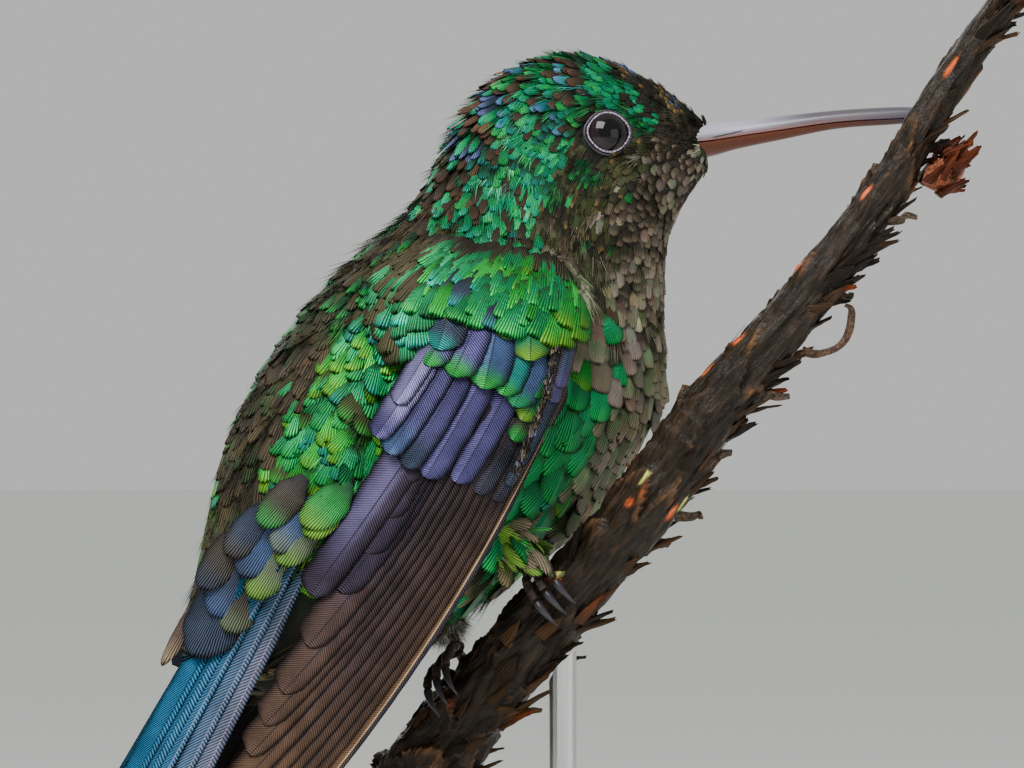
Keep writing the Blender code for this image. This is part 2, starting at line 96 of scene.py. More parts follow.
# The bill's sections: X, centre Z, half height, half width, and the mouth line's drop below the centre.
BILL = (
    (16.2, 70.10, 0.95, 2.55, 0.02),
    (17.4, 70.16, 1.25, 2.25, 0.04),
    (18.3, 70.27, 1.36, 1.80, 0.07),
    (19.4, 70.44, 1.30, 1.42, 0.10),
    (21.2, 70.75, 1.10, 1.12, 0.12),
    (24.3, 71.25, 0.95, 0.92, 0.16),
    (29.1, 71.98, 0.73, 0.74, 0.22),
    (33.9, 72.30, 0.68, 0.60, 0.24),
    (36.0, 72.38, 0.50, 0.46, 0.18),
    (37.3, 72.40, 0.20, 0.20, 0.05),
)

# The folded right wing: leading edge (X, Z), trailing edge (X, Z), Y of mid chord, and the edges' sag.
WING = (
    (6.6, 61.0, -2.6, 62.6, -4.6, 2.2),
    (8.3, 58.0, -5.2, 60.0, -6.8, 2.8),
    (8.1, 54.6, -6.4, 56.8, -9.0, 2.9),
    (7.2, 50.6, -6.4, 53.0, -10.8, 2.6),
    (5.4, 46.6, -8.2, 47.6, -12.1, 2.3),
    (2.4, 42.2, -9.2, 42.4, -12.8, 1.9),
    (-0.4, 36.4, -12.6, 37.0, -13.2, 1.5),
    (-3.6, 31.0, -14.0, 31.4, -13.4, 1.1),
    (-7.0, 25.2, -16.4, 25.0, -13.4, 0.9),
    (-11.3, 18.8, -19.2, 18.0, -13.4, 0.7),
    (-15.4, 13.4, -20.2, 13.0, -13.4, 0.4),
    (-18.6, 10.0, -19.4, 10.0, -13.4, 0.1),
)
WING_END = len(WING) - 1.0

# Flight feathers of a folded wing, from the innermost secondary to the outermost primary: tip (X, Z), root
# (X, Z), width of the vane on the trailing side and on the leading side, bow toward the leading edge.
FLIGHT = (
    (-6.2, 42.8, -3.6, 52.0, 2.1, 1.9, 0.2),
    (-7.4, 40.2, -2.8, 51.6, 2.1, 1.8, 0.4),
    (-8.8, 37.4, -2.0, 51.2, 2.1, 1.7, 0.6),
    (-10.7, 34.3, -1.2, 50.8, 2.1, 1.6, 0.8),
    (-13.0, 34.0, -1.8, 50.4, 1.9, 1.5, 0.2),
    (-13.2, 30.0, -0.2, 50.0, 2.1, 1.4, 0.9),
    (-15.2, 26.3, 0.5, 49.6, 2.1, 1.3, 1.1),
    (-16.6, 23.8, 1.2, 49.2, 2.1, 1.2, 1.2),
    (-17.8, 21.4, 1.9, 48.8, 2.1, 1.1, 1.3),
    (-18.8, 18.8, 2.6, 48.4, 2.1, 1.1, 1.4),
    (-19.5, 16.4, 3.2, 48.0, 2.0, 1.0, 1.5),
    (-19.9, 14.5, 3.8, 47.6, 2.0, 0.9, 1.5),
    (-20.1, 12.9, 4.4, 47.2, 1.9, 0.8, 1.6),
    (-19.9, 11.6, 4.9, 46.8, 1.8, 0.6, 1.6),
    (-19.4, 10.4, 5.4, 46.4, 1.7, 0.4, 1.7),
)
SECONDARIES = 5  # how many of them, from the start, are secondaries

# Larger coverts of a wing, from the lowest layer to the highest: tip (X, Z), root (X, Z), width of the vane
# on its trailing and on its leading side, height over the bed, and the colours of its base and of its tip.
COVERTS = (
    (1.6, 41.4, 5.2, 48.0, 0.9, 0.8, 0.45, "navy", "dusky"),
    (0.2, 42.0, 4.4, 49.4, 1.1, 1.0, 0.52, "navy", "dusky"),
    (3.0, 46.2, 5.4, 50.0, 1.0, 0.9, 0.62, "olive", "green"),
    (3.7, 47.8, 6.0, 51.6, 1.2, 1.1, 0.70, "emerald", "lime"),
    (5.4, 47.4, 7.2, 51.0, 0.8, 0.7, 0.66, "umber", "olive"),
    (-1.5, 42.9, 3.6, 52.2, 1.45, 1.35, 0.62, "violet", "violet"),
    (-3.9, 43.3, 1.8, 53.4, 1.55, 1.45, 0.78, "violet", "violet"),
    (-5.5, 44.1, 0.0, 53.8, 1.40, 1.30, 0.94, "violet", "slate"),
    (-6.9, 45.2, -1.2, 54.2, 1.30, 1.20, 1.10, "violet", "steel"),
    (-7.9, 46.5, -2.6, 54.6, 1.25, 1.20, 1.26, "lilac", "violet"),
    (-6.3, 49.2, -3.0, 54.8, 1.0, 1.0, 1.42, "lilac", "lilac"),
    (4.8, 49.6, 6.4, 54.0, 1.1, 1.0, 0.90, "emerald", "green"),
    (3.1, 48.9, 5.4, 54.2, 1.70, 1.55, 0.98, "steel", "emerald"),
    (2.2, 49.8, 3.8, 54.6, 1.50, 1.40, 1.06, "teal", "green"),
    (0.7, 50.3, 2.0, 56.8, 1.95, 1.85, 1.14, "steel", "green"),
    (-1.8, 51.3, 0.6, 57.2, 1.80, 1.70, 1.22, "violet", "green"),
    (-3.9, 52.2, -1.6, 57.0, 1.60, 1.50, 1.28, "violet", "green"),
    (-3.0, 53.4, -1.8, 58.4, 2.00, 1.90, 1.34, "slate", "teal"),
    (4.4, 52.5, 4.2, 57.6, 1.95, 1.90, 1.26, "emerald", "lime"),
    (2.7, 54.2, 2.4, 58.0, 1.30, 1.20, 1.32, "green", "lime"),
    (6.2, 53.8, 6.0, 58.0, 1.40, 1.20, 1.30, "emerald", "teal"),
)
ALULA = (6.7, 50.4, 7.8, 55.4, 0.62, 0.62)

# Tail feathers from the lowest to the highest: across and along at the root and at the tip, width on the left
# and on the right of the shaft, height, share of lilac in the blue (below 0 for plain blue), and the shaft's
# colour.
TAIL_VANES = (
    (-3.4, 5.0, -5.2, 26.9, 0.8, 1.2, 0.02, -1, "navy"),
    (3.0, 1.0, 4.6, 27.6, 1.2, 0.6, 0.02, 0.8, "fringe"),
    (-2.6, 4.0, -3.6, 27.7, 1.3, 1.3, 0.08, -1, "navy"),
    (2.2, 0.0, 2.9, 28.0, 1.6, 1.2, 0.08, 0.4, "fringe"),
    (4.7, 0.8, 6.5, 27.3, 2.0, 0.55, 0.20, 0.95, "fringe"),
    (3.6, 0.8, 4.7, 27.8, 1.8, 0.45, 0.34, 0.55, "fringe"),
    (2.1, 0.2, 2.6, 28.1, 2.4, 0.40, 0.48, 0.15, "fringe"),
    (-3.2, 3.0, -4.7, 27.3, 1.05, 1.3, 0.34, -1, "steel"),
    (0.4, 1.4, 0.5, 28.4, 1.6, 1.1, 0.50, 0.1, "navy"),
    (-0.6, 2.0, -0.8, 28.4, 3.3, 0.8, 0.66, 0, "navy"),
)

# Upper tail coverts of the right side, from the lowest: tip (X, Z), root (X, Z), width, colour and fringe.
TAIL_COVERTS = (
    (-24.7, 28.2, -21.8, 33.9, 1.4, "rust", "buff"),
    (-22.1, 29.0, -19.0, 35.4, 5.0, "slate", "slate"),
    (-19.7, 31.0, -16.9, 36.2, 3.6, "bronze", "sage"),
    (-20.8, 32.3, -17.2, 37.7, 4.1, "slate", "steel"),
    (-17.7, 33.7, -14.6, 38.4, 3.2, "sage", "lime"),
    (-18.5, 35.4, -14.9, 40.5, 3.7, "steel", "slate"),
    (-15.4, 36.3, -12.5, 40.4, 3.0, "sage", "lime"),
    (-15.9, 37.4, -12.0, 41.8, 3.4, "steel", "sage"),
    (-13.3, 38.5, -10.6, 42.0, 2.8, "lime", "lime"),
    (-13.6, 39.3, -9.8, 42.8, 3.2, "green", "lime"),
    (-21.7, 34.4, -18.2, 39.4, 3.1, "bronze", "slate"),
    (-19.6, 37.0, -16.0, 41.4, 3.1, "slate", "bronze"),
    (-17.0, 39.4, -13.4, 43.4, 3.1, "bronze", "green"),
)
# Marks on the near side of the bark: X, Z, half length, half width, and whether it is a green split.
BARK_MARKS = (
    (13.5, 43.2, 0.9, 0.22, True),
    (16.6, 41.2, 0.8, 0.20, True),
    (6.8, 35.9, 0.9, 0.22, True),
    (12.3, 41.4, 0.5, 0.30, False),
    (15.6, 40.4, 0.9, 0.35, False),
    (18.5, 51.8, 0.9, 0.30, False),
    (20.3, 55.1, 0.8, 0.45, False),
    (11.7, 45.3, 1.4, 0.25, False),
    (33.4, 70.2, 1.0, 0.50, False),
    (31.2, 66.0, 0.9, 0.30, False),
    (25.5, 60.5, 0.9, 0.35, False),
    (38.0, 76.0, 1.0, 0.30, False),
)
NEAR = np.array((0.0, -1.0, 0.0))  # toward the bird's right
TAIL_ROOT = np.array((-15.2, -1.2, 37.0))
TAIL_TIP = np.array((-28.6, -8.0, 12.8))
TAIL_ROLL = 32.0
TAIL_HALF_WIDTH = (5.2, 6.2)
TAIL_ARCH = 0.9
LEFT_WING_ROLL = 14.0
LID_REACH = 1.84  # how far the bare ring keeps feathers from an eye's axis

# The perch: centre line (X, Y, Z) and radius, from the lower cut to the upper.
PERCH = (
    (-9.4, 1.6, 13.2, 4.0),
    (-6.4, 1.4, 17.0, 4.0),
    (-2.4, 0.6, 22.2, 3.8),
    (2.6, -0.8, 28.3, 3.5),
    (7.6, -2.6, 34.2, 3.3),
    (13.6, -4.4, 41.4, 3.2),
    (19.4, -5.2, 49.4, 2.9),
    (26.2, -5.4, 57.4, 2.4),
    (32.2, -5.4, 65.4, 2.1),
    (37.0, -5.2, 73.6, 1.7),
    (43.8, -5.0, 83.6, 1.5),
)
PERCH_END = len(PERCH) - 1.0
FEET = {"right": (4.05, 12.0, -0.9), "left": (2.75, -26.0, -2.0)}
ANKLE = {"right": (3.9, -5.8, 37.3), "left": (-2.2, 1.4, 31.4)}
HIP = {"right": (0.4, -4.6, 40.0), "left": (-3.6, 6.4, 33.6)}
FOOT_GAP = 0.3  # height of the bark's surface over the perch's table
TOE_SWEEP = 52.0  # degrees that a toe reaches round the perch

# Feather tracts: row and angle of the middle on the body, reach in rows and degrees, feather length, width
# and spacing, lift in degrees, how loose its barbs are, and its colours with their shares and sheen.
TRACTS = {
    "lores": (1.5, 86, 0.8, 26, 0.85, 0.50, 0.27, 8, 0.12, "soot"),
    "chin": (1.0, 150, 1.0, 42, 0.80, 0.75, 0.42, 10, 0.0, "throat"),
    "forehead": (1.7, 30, 0.9, 34, 1.10, 0.70, 0.34, 17, 0.12, "forehead"),
    "crown": (4.1, 28, 1.3, 26, 1.9, 1.15, 0.52, 21, 0.35, "crown"),
    "hind_crown": (6.0, 12, 0.8, 22, 2.5, 1.0, 0.56, 27, 0.4, "hind_crown"),
    "brow": (2.9, 60, 0.8, 16, 1.1, 0.70, 0.36, 10, 0.15, "brow"),
    "ear": (6.1, 56, 0.9, 20, 1.5, 1.10, 0.48, 11, 0.15, "ear"),
    "cheek": (4.5, 96, 1.1, 16, 1.30, 0.70, 0.34, 9, 0.12, "cheek"),
    "jaw": (6.3, 90, 0.7, 15, 1.6, 0.85, 0.38, 9, 0.15, "cheek"),
    "throat": (3.8, 140, 1.9, 28, 1.15, 1.15, 0.58, 14, 0.0, "throat"),
    "nape": (7.3, 18, 0.7, 24, 2.2, 1.1, 0.58, 20, 0.35, "nape"),
    "neck_side": (7.6, 54, 0.6, 18, 1.9, 1.2, 0.58, 13, 0.15, "neck"),
    "neck_front": (7.0, 98, 0.6, 13, 1.7, 0.9, 0.44, 10, 0.25, "malar"),
    "gorget": (6.7, 142, 1.3, 30, 1.5, 1.4, 0.68, 13, 0.05, "gorget"),
    "mantle": (8.7, 26, 0.8, 30, 3.0, 1.3, 0.64, 13, 0.45, "mantle"),
    "spine": (11.8, 3, 3.4, 17, 2.7, 1.5, 0.72, 12, 0.4, "spine"),
    "back": (10.7, 41, 1.9, 23, 2.7, 2.3, 0.82, 11, 0.10, "back"),
    "lower_back": (12.6, 42, 0.9, 21, 2.6, 2.2, 0.80, 11, 0.12, "lower_back"),
    "flank": (10.1, 101, 1.6, 14, 3.9, 3.7, 1.55, 10, 0.0, "flank"),
    "breast": (8.5, 132, 1.3, 27, 2.4, 2.5, 1.02, 12, 0.05, "breast"),
    "breast_low": (10.3, 160, 1.2, 26, 2.6, 2.6, 1.08, 12, 0.05, "breast"),
    "belly": (12.0, 116, 1.1, 36, 3.4, 3.0, 1.25, 12, 0.15, "belly"),
    "vent": (14.6, 150, 1.3, 60, 3.2, 1.5, 0.90, 14, 0.9, "vent"),
    "rump": (14.6, 8, 1.2, 24, 2.6, 1.7, 0.76, 12, 0.30, "rump"),
    "rump_side": (14.0, 36, 0.7, 22, 3.2, 2.7, 1.0, 10, 0.15, "rump_side"),
    "tail_coverts": (16.2, 25, 1.0, 72, 3.2, 2.4, 1.1, 9, 0.1, "tail_coverts"),
    "under_coverts": (16.2, 172, 0.9, 70, 3.6, 1.9, 1.2, 8, 0.5, "vent"),
}
# The colours of the feathers.
DYES = {
    "emerald": (0.003, 0.225, 0.072),
    "green": (0.008, 0.270, 0.030),
    "lime": (0.140, 0.330, 0.010),
    "teal": (0.000, 0.185, 0.160),
    "pine": (0.002, 0.045, 0.020),
    "blue_lilac": (0.110, 0.150, 0.380),
    "bronze": (0.050, 0.035, 0.018),
    "umber": (0.020, 0.014, 0.010),
    "rust": (0.088, 0.040, 0.026),
    "soot": (0.009, 0.007, 0.006),
    "grey_brown": (0.048, 0.036, 0.026),
    "fringe": (0.270, 0.205, 0.150),
    "bead": (0.200, 0.145, 0.100),
    "taupe": (0.155, 0.138, 0.098),
    "sage": (0.125, 0.160, 0.085),
    "olive": (0.030, 0.038, 0.014),
    "gold": (0.240, 0.150, 0.045),
    "slate": (0.022, 0.032, 0.062),
    "steel": (0.045, 0.085, 0.200),
    "violet": (0.062, 0.050, 0.165),
    "dusky": (0.018, 0.014, 0.030),
    "brown_wing": (0.068, 0.038, 0.020),
    "tan": (0.260, 0.135, 0.070),
    "tail_blue": (0.012, 0.056, 0.150),
    "cyan": (0.030, 0.260, 0.420),
    "lilac": (0.190, 0.165, 0.350),
    "navy": (0.005, 0.005, 0.012),
    "white": (0.620, 0.600, 0.560),
    "buff": (0.320, 0.240, 0.130),
}
# Finishes of the plumage: the setting that gives the barbs' pitch and how much of it, how dark the painted
# shade in the gaps between barbs is, how dark the painted shade on the vane's edge is, colour and share of
# the ridges, sheen and roughness.
COATS = {
    "body_plumage": ("barb_pitch", 1.0, 0.62, 0.80, (0.40, 0.42, 0.26), 0.07, 0.75, 0.50),
    "face_plumage": ("barb_pitch", 0.62, 0.45, 0.80, (0.40, 0.42, 0.26), 0.05, 0.75, 0.46),
    "shoulder_plumage": ("barb_pitch", 1.0, 0.50, 0.70, (0.40, 0.42, 0.26), 0.07, 0.75, 0.46),
    "flight_plumage": ("flight_pitch", 1.0, 0.45, 0.85, (0.30, 0.22, 0.20), 0.10, 0.35, 0.42),
    "covert_plumage": ("flight_pitch", 0.9, 0.45, 0.80, (0.40, 0.46, 0.50), 0.10, 0.70, 0.42),
    "tail_plumage": ("flight_pitch", 1.5, 0.75, 0.70, DYES["cyan"], 0.30, 0.45, 0.40),
    "tail_covert_plumage": ("barb_pitch", 0.85, 0.80, 0.75, (0.36, 0.42, 0.50), 0.12, 0.50, 0.46),
    "down": ("barb_pitch", 1.0, 0.30, 0.30, (0.60, 0.58, 0.54), 0.20, 0.00, 0.70),
}
# Each family of colours: main, edge, sheen and share of the feathers that have it.
FAMILIES = {
    "soot": (("soot", "umber", 0.1, 0.75), ("umber", "bronze", 0.1, 0.25)),
    "forehead": (("soot", "umber", 0.1, 0.48), ("umber", "gold", 0.1, 0.24), ("bronze", "gold", 0.1, 0.15),
                 ("slate", "blue_lilac", 0.5, 0.13)),
    "crown": (("emerald", "teal", 0.9, 0.30), ("emerald", "green", 0.9, 0.22), ("umber", "rust", 0.1, 0.24),
              ("teal", "blue_lilac", 0.6, 0.24)),
    "hind_crown": (("rust", "rust", 0.1, 0.20), ("umber", "rust", 0.1, 0.28), ("emerald", "teal", 0.8, 0.34),
                   ("slate", "blue_lilac", 0.5, 0.18)),
    "brow": (("soot", "umber", 0.1, 0.30), ("emerald", "teal", 0.9, 0.50), ("pine", "green", 0.7, 0.20)),
    "ear": (("emerald", "teal", 0.9, 0.46), ("umber", "bronze", 0.1, 0.10), ("emerald", "green", 0.9, 0.24),
            ("pine", "teal", 0.4, 0.20)),
    "cheek": (("olive", "bronze", 0.3, 0.40), ("umber", "gold", 0.1, 0.12), ("soot", "olive", 0.1, 0.30),
              ("pine", "green", 0.6, 0.18)),
    "throat": (
        ("taupe", "fringe", 0.0, 0.42), ("grey_brown", "bead", 0.0, 0.38), ("umber", "bead", 0.0, 0.20)
    ),
    "malar": (
        ("olive", "taupe", 0.1, 0.40), ("grey_brown", "bead", 0.0, 0.30), ("umber", "olive", 0.1, 0.30)
    ),
    "nape": (("umber", "rust", 0.1, 0.34), ("emerald", "teal", 0.8, 0.40), ("bronze", "rust", 0.1, 0.26)),
    "neck": (("emerald", "teal", 0.9, 0.56), ("emerald", "green", 0.9, 0.24), ("umber", "bronze", 0.1, 0.20)),
    "gorget": (
        ("taupe", "fringe", 0.0, 0.45), ("grey_brown", "fringe", 0.0, 0.30), ("olive", "bead", 0.1, 0.25)
    ),
    "mantle": (("umber", "bronze", 0.1, 0.36), ("bronze", "olive", 0.2, 0.30), ("pine", "green", 0.6, 0.34)),
    "spine": (
        ("umber", "bronze", 0.1, 0.42), ("bronze", "grey_brown", 0.1, 0.36), ("olive", "pine", 0.3, 0.22)
    ),
    "back": (("emerald", "green", 0.9, 0.50), ("green", "lime", 0.9, 0.26), ("emerald", "teal", 0.8, 0.12),
             ("olive", "green", 0.4, 0.12)),
    "lower_back": (("green", "lime", 0.9, 0.45), ("lime", "green", 0.9, 0.25), ("olive", "lime", 0.4, 0.30)),
    "flank": (("emerald", "green", 0.9, 0.75), ("green", "lime", 0.9, 0.10), ("emerald", "teal", 0.9, 0.15)),
    "breast": (("taupe", "fringe", 0.0, 0.36), ("sage", "fringe", 0.1, 0.50), ("bead", "fringe", 0.0, 0.14)),
    "belly": (("emerald", "green", 0.9, 0.45), ("green", "lime", 0.9, 0.30), ("olive", "buff", 0.2, 0.25)),
    "vent": (("grey_brown", "buff", 0.0, 0.60), ("olive", "buff", 0.1, 0.40)),
    "rump": (("bronze", "olive", 0.2, 0.40), ("slate", "bronze", 0.2, 0.26), ("umber", "bronze", 0.1, 0.34)),
    "rump_side": (
        ("slate", "steel", 0.3, 0.40), ("bronze", "olive", 0.2, 0.32), ("olive", "lime", 0.3, 0.28)
    ),
    "tail_coverts": (("slate", "steel", 0.4, 0.60), ("bronze", "slate", 0.3, 0.40)),
}


# ---------------------------------------------------------------- settings


def colour_setting(name, about, dye):
    return bpy.props.FloatVectorProperty(
        name=name, description=about, default=dye, subtype="COLOR", size=3, min=0.0, max=1.0
    )


def number_setting(name, about, value, low, high, **kind):
    return bpy.props.FloatProperty(name=name, description=about, default=value, min=low, max=high, **kind)


def length_setting(name, about, millimetres, high=50.0):
    kind = {"subtype": "DISTANCE", "unit": "LENGTH", "precision": 5}
    return number_setting(name, about, millimetres * MM, 0.0, high * MM, **kind)


class PlumageSettings(bpy.types.PropertyGroup):
    coat_depth: length_setting("Coat depth", "How far the skin lies inside the outline of the feathers", 0.7)
    barb_pitch: length_setting("Barb pitch", "Distance between two barbs of a body feather", 0.27)
    flight_pitch: length_setting("Flight barb pitch", "Distance between two barbs of a flight feather", 0.22)
    feather_size: number_setting(
        "Feather size", "Scale of the body feathers", 1.0, 0.5, 2.0, subtype="FACTOR"
    )
    emerald: colour_setting("Emerald", "Green of the flanks, shoulders and crown", DYES["emerald"])
    green: colour_setting("Leaf green", "Brighter green of the back and belly", DYES["green"])
    bronze: colour_setting("Bronze", "Brown of the mantle and rump", DYES["bronze"])
    violet: colour_setting("Violet", "Violet blue of the greater coverts", DYES["violet"])
    tail_blue: colour_setting("Tail blue", "Ground colour of the tail feathers", DYES["tail_blue"])


class BareSettings(bpy.types.PropertyGroup):
    lid_radius: length_setting("Lid radius", "Radius of the bare ring round the eye", 1.60)
    lid_thickness: length_setting("Lid thickness", "Half thickness of that ring", 0.075)
    toe_radius: length_setting("Toe radius", "Radius of a toe", 0.42)
    iris: colour_setting("Iris", "Colour of the iris", (0.006, 0.004, 0.004))
    lid: colour_setting("Lid", "Colour of the ring round the eye", (0.34, 0.28, 0.38))
    culmen: colour_setting("Upper bill", "Colour of the upper bill's horn", (0.034, 0.029, 0.036))
    coral: colour_setting("Lower bill", "Colour of the lower bill's base", (0.105, 0.030, 0.014))
    scutes: colour_setting("Toe scales", "Colour of the scales on the toes", (0.050, 0.032, 0.028))


class PerchSettings(bpy.types.PropertyGroup):
    relief: length_setting("Bark relief", "Depth of the flutes of the bark", 1.15)
    strips: bpy.props.IntProperty(
        name="Strips", description="Number of loose strips of bark", default=90, min=0, max=900
    )
    bark: colour_setting("Bark", "Dark ground colour of the bark", (0.010, 0.006, 0.003))
    fibre: colour_setting("Fibre", "Lighter fibres of the bark", (0.085, 0.040, 0.014))
    split: colour_setting("Splits", "Yellow green that shows where the bark has split", (0.42, 0.44, 0.10))
    rust: colour_setting("Scars", "Rust colour of the scars", (0.42, 0.075, 0.012))


class StudioSettings(bpy.types.PropertyGroup):
    key: number_setting("Key light", "Power of the overhead light", 2.5, 0.0, 100.0, unit="POWER")
    fill: number_setting("Fill light", "Power of the side lights", 0.5, 0.0, 100.0, unit="POWER")
    lens: number_setting("Lens", "Focal length in millimetres", 439.45, 50.0, 600.0)


# ---------------------------------------------------------------- surfaces


def rows_at(table, t):
    """The table's rows at fractional places, on a Catmull-Rom curve through its rows."""
    table, t = np.asarray(table, float), np.asarray(t, float)
    last = len(table) - 1
    i = np.clip(np.floor(t), 0, last - 1).astype(int)
    u = (t - i)[..., None]
    p0, p1 = table[np.maximum(i - 1, 0)], table[i]
    p2, p3 = table[i + 1], table[np.minimum(i + 2, last)]
    bend = 2 * p0 - 5 * p1 + 4 * p2 - p3
    twist = 3 * (p1 - p2) + p3 - p0
    return 0.5 * (2 * p1 + (p2 - p0) * u + bend * u * u + twist * u**3)


def unit(v):
    return v / np.maximum(np.linalg.norm(v, axis=-1, keepdims=True), 1e-12)


def square_to(v, way):
    """Unit vectors at right angles to the unit vectors way, as near to v as can be."""
    return unit(v - way * (v * way).sum(-1, keepdims=True))


def blend(a, b, share):
    return a + (b - a) * share


def ease(low, high, value):
    s = np.clip((value - low) / (high - low), 0.0, 1.0)
    return s * s * (3 - 2 * s)


def body_point(t, angle, grow=0.0):
    """A point of the body's outline at row t and an angle from the back toward the right side."""
    back_x, back_z, front_x, front_z, width, y, roll = np.moveaxis(rows_at(BODY, t), -1, 0)
    zero = np.zeros_like(y)
    centre = np.stack(((back_x + front_x) / 2, y, (back_z + front_z) / 2), -1)
    up = np.stack((back_x - front_x, zero, back_z - front_z), -1)
    reach = np.linalg.norm(up, axis=-1) / 2
    up = unit(up)
    near = np.stack((zero, zero - 1.0, zero), -1)
    turn = np.radians(roll)
    cos, sin = np.cos(turn)[..., None], np.sin(turn)[..., None]
    back, right = cos * up + sin * near, cos * near - sin * up
    depth = np.sqrt(reach**2 - (width * np.sin(turn)) ** 2) / np.cos(turn) + grow
    a = np.radians(angle)
    return centre + (depth * np.cos(a))[..., None] * back + ((width + grow) * np.sin(a))[..., None] * right


def point_tree(points):
    """A search tree over points."""
    tree = KDTree(len(points))
    for i, point in enumerate(points):
        tree.insert(point, i)
    tree.balance()
    return tree


class BodyMap:
    """Finds the row and angle of the body for points near its surface."""

    def __init__(self):
        self.t, self.a = np.meshgrid(
            np.linspace(0.0, BODY_END, 161), np.arange(-180.0, 180.0, 3.75), indexing="ij"
        )
        self.t, self.a = self.t.ravel(), self.a.ravel()
        self.points = body_point(self.t, self.a)
        self.tree = point_tree(self.points)

    def place(self, points):
        near = np.array([self.tree.find(p)[1] for p in points])
        t, a = self.t[near], self.a[near]
        off = points - self.points[near]
        by_t = body_point(np.minimum(t + 0.1, BODY_END), a) - body_point(np.maximum(t - 0.1, 0.0), a)
        by_a = body_point(t, a + 2.0) - body_point(t, a - 2.0)
        dt = 0.2 * (off * by_t).sum(-1) / (by_t**2).sum(-1)
        da = 4.0 * (off * by_a).sum(-1) / (by_a**2).sum(-1)
        return np.clip(t + np.clip(dt, -0.1, 0.1), 0.0, BODY_END), a + np.clip(da, -3.0, 3.0)

    def lie(self, t, a):
        """The way the coat lies: from the bill to the tail along the body."""
        return unit(body_point(np.minimum(t + 0.2, BODY_END), a) - body_point(np.maximum(t - 0.2, 0.0), a))


def wing_point(u, v, height):
    """A point of the right wing: row u, share v of the chord from the leading edge, height off its bed."""
    lead_x, lead_z, trail_x, trail_z, y, sag = np.moveaxis(rows_at(WING, u), -1, 0)
    return np.stack(
        (blend(lead_x, trail_x, v), y + sag * (2 * v - 1) ** 2 - height, blend(lead_z, trail_z, v)), -1
    )


def wing_place(flat):
    """Row and share of the chord of points given by X and Z on the right wing."""
    u0, v0 = np.meshgrid(np.linspace(0, WING_END, 56), np.linspace(0, 1, 11), indexing="ij")
    u0, v0 = u0.ravel(), v0.ravel()
    grid = wing_point(u0, v0, 0.0)[:, ::2]
    near = np.empty(len(flat), int)
    for start in range(0, len(flat), 4000):
        part = flat[start : start + 4000]
        near[start : start + 4000] = ((part[:, None] - grid) ** 2).sum(-1).argmin(1)
    u, v = u0[near], v0[near]
    for _ in range(4):
        at = wing_point(u, v, 0.0)[:, ::2]
        by_u = (wing_point(u + 0.02, v, 0.0)[:, ::2] - at) / 0.02
        by_v = (wing_point(u, v + 0.02, 0.0)[:, ::2] - at) / 0.02
        miss = flat - at
        det = by_u[:, 0] * by_v[:, 1] - by_u[:, 1] * by_v[:, 0]
        det = np.where(np.abs(det) < 1e-3, 1e-3, det)
        du = (miss[:, 0] * by_v[:, 1] - miss[:, 1] * by_v[:, 0]) / det
        dv = (by_u[:, 0] * miss[:, 1] - by_u[:, 1] * miss[:, 0]) / det
        u = np.clip(u + np.clip(du, -0.5, 0.5), -0.25, WING_END + 0.25)
        v = np.clip(v + np.clip(dv, -0.2, 0.2), -0.15, 1.15)
    return u, v


def on_right_wing(flat, height):
    """Points over the right wing at the X and Z of flat, standing height off its bed."""
    u, v = wing_place(flat)
    y = wing_point(u, v, 0.0)[:, 1] - height
    return np.stack((flat[:, 0], y, flat[:, 1]), -1)


def mirror_plane():
    """A point of the plane between the two wings and its normal."""
    a = np.array([0.0, 180.0])
    high, low = body_point(np.full(2, 9.0), a).mean(0), body_point(np.full(2, 13.0), a).mean(0)
    along = unit(high - low)
    near = square_to(NEAR, along)
    back = -np.cross(along, near)
    turn = math.radians(LEFT_WING_ROLL)
    return low, math.cos(turn) * near - math.sin(turn) * back


def mirrored(points, ways=False):
    """Points of one side, or directions where ways is true, on the other side."""
    origin, normal = mirror_plane()
    far = points if ways else points - origin
    return points - 2 * (far @ normal)[:, None] * normal


def on_left_wing(flat, height):
    return mirrored(on_right_wing(flat, height))


def on_tail(flat, height):
    """Points over the tail. flat is millimetres across, to the right, and along from its root."""
    along, length = unit(TAIL_TIP - TAIL_ROOT), np.linalg.norm(TAIL_TIP - TAIL_ROOT)
    near = square_to(NEAR, along)
    up = np.cross(along, near)
    turn = math.radians(TAIL_ROLL)
    back = math.cos(turn) * up + math.sin(turn) * near
    right = math.cos(turn) * near - math.sin(turn) * up
    u = flat[:, 1] / length
    half = blend(*TAIL_HALF_WIDTH, np.sin(math.pi / 2 * np.clip(u, 0, 1)))
    arch = TAIL_ARCH * (1 - np.clip(flat[:, 0] / half, -1.1, 1.1) ** 2)
    return TAIL_ROOT + flat[:, 1:] * along + flat[:, :1] * right + (arch + height)[:, None] * back


def perch_point(t, angle, lift=0.0, slide=0.0):
    """A point at an angle round the perch from its upper side toward -Y, lifted off its surface."""
    t = np.asarray(t, float)
    row = rows_at(PERCH, t)
    along = unit(rows_at(PERCH, t + 0.05)[..., :3] - rows_at(PERCH, t - 0.05)[..., :3])
    near = square_to(NEAR, along)
    upper = -np.cross(along, near)
    a = np.radians(np.asarray(angle, float))[..., None]
    outward = np.cos(a) * upper + np.sin(a) * near
    reach = row[..., 3] + lift
    return row[..., :3] + along * np.asarray(slide)[..., None] + reach[..., None] * outward


# ---------------------------------------------------------------- finishes


def arithmetic(operation, swapped=False):
    """A method of Signal that adds a Math node."""

    def method(self, other=None):
        terms = (other, self) if swapped else (self, other)
        return self.finish.node("ShaderNodeMath", {"operation": operation}, dict(enumerate(terms)))

    return method


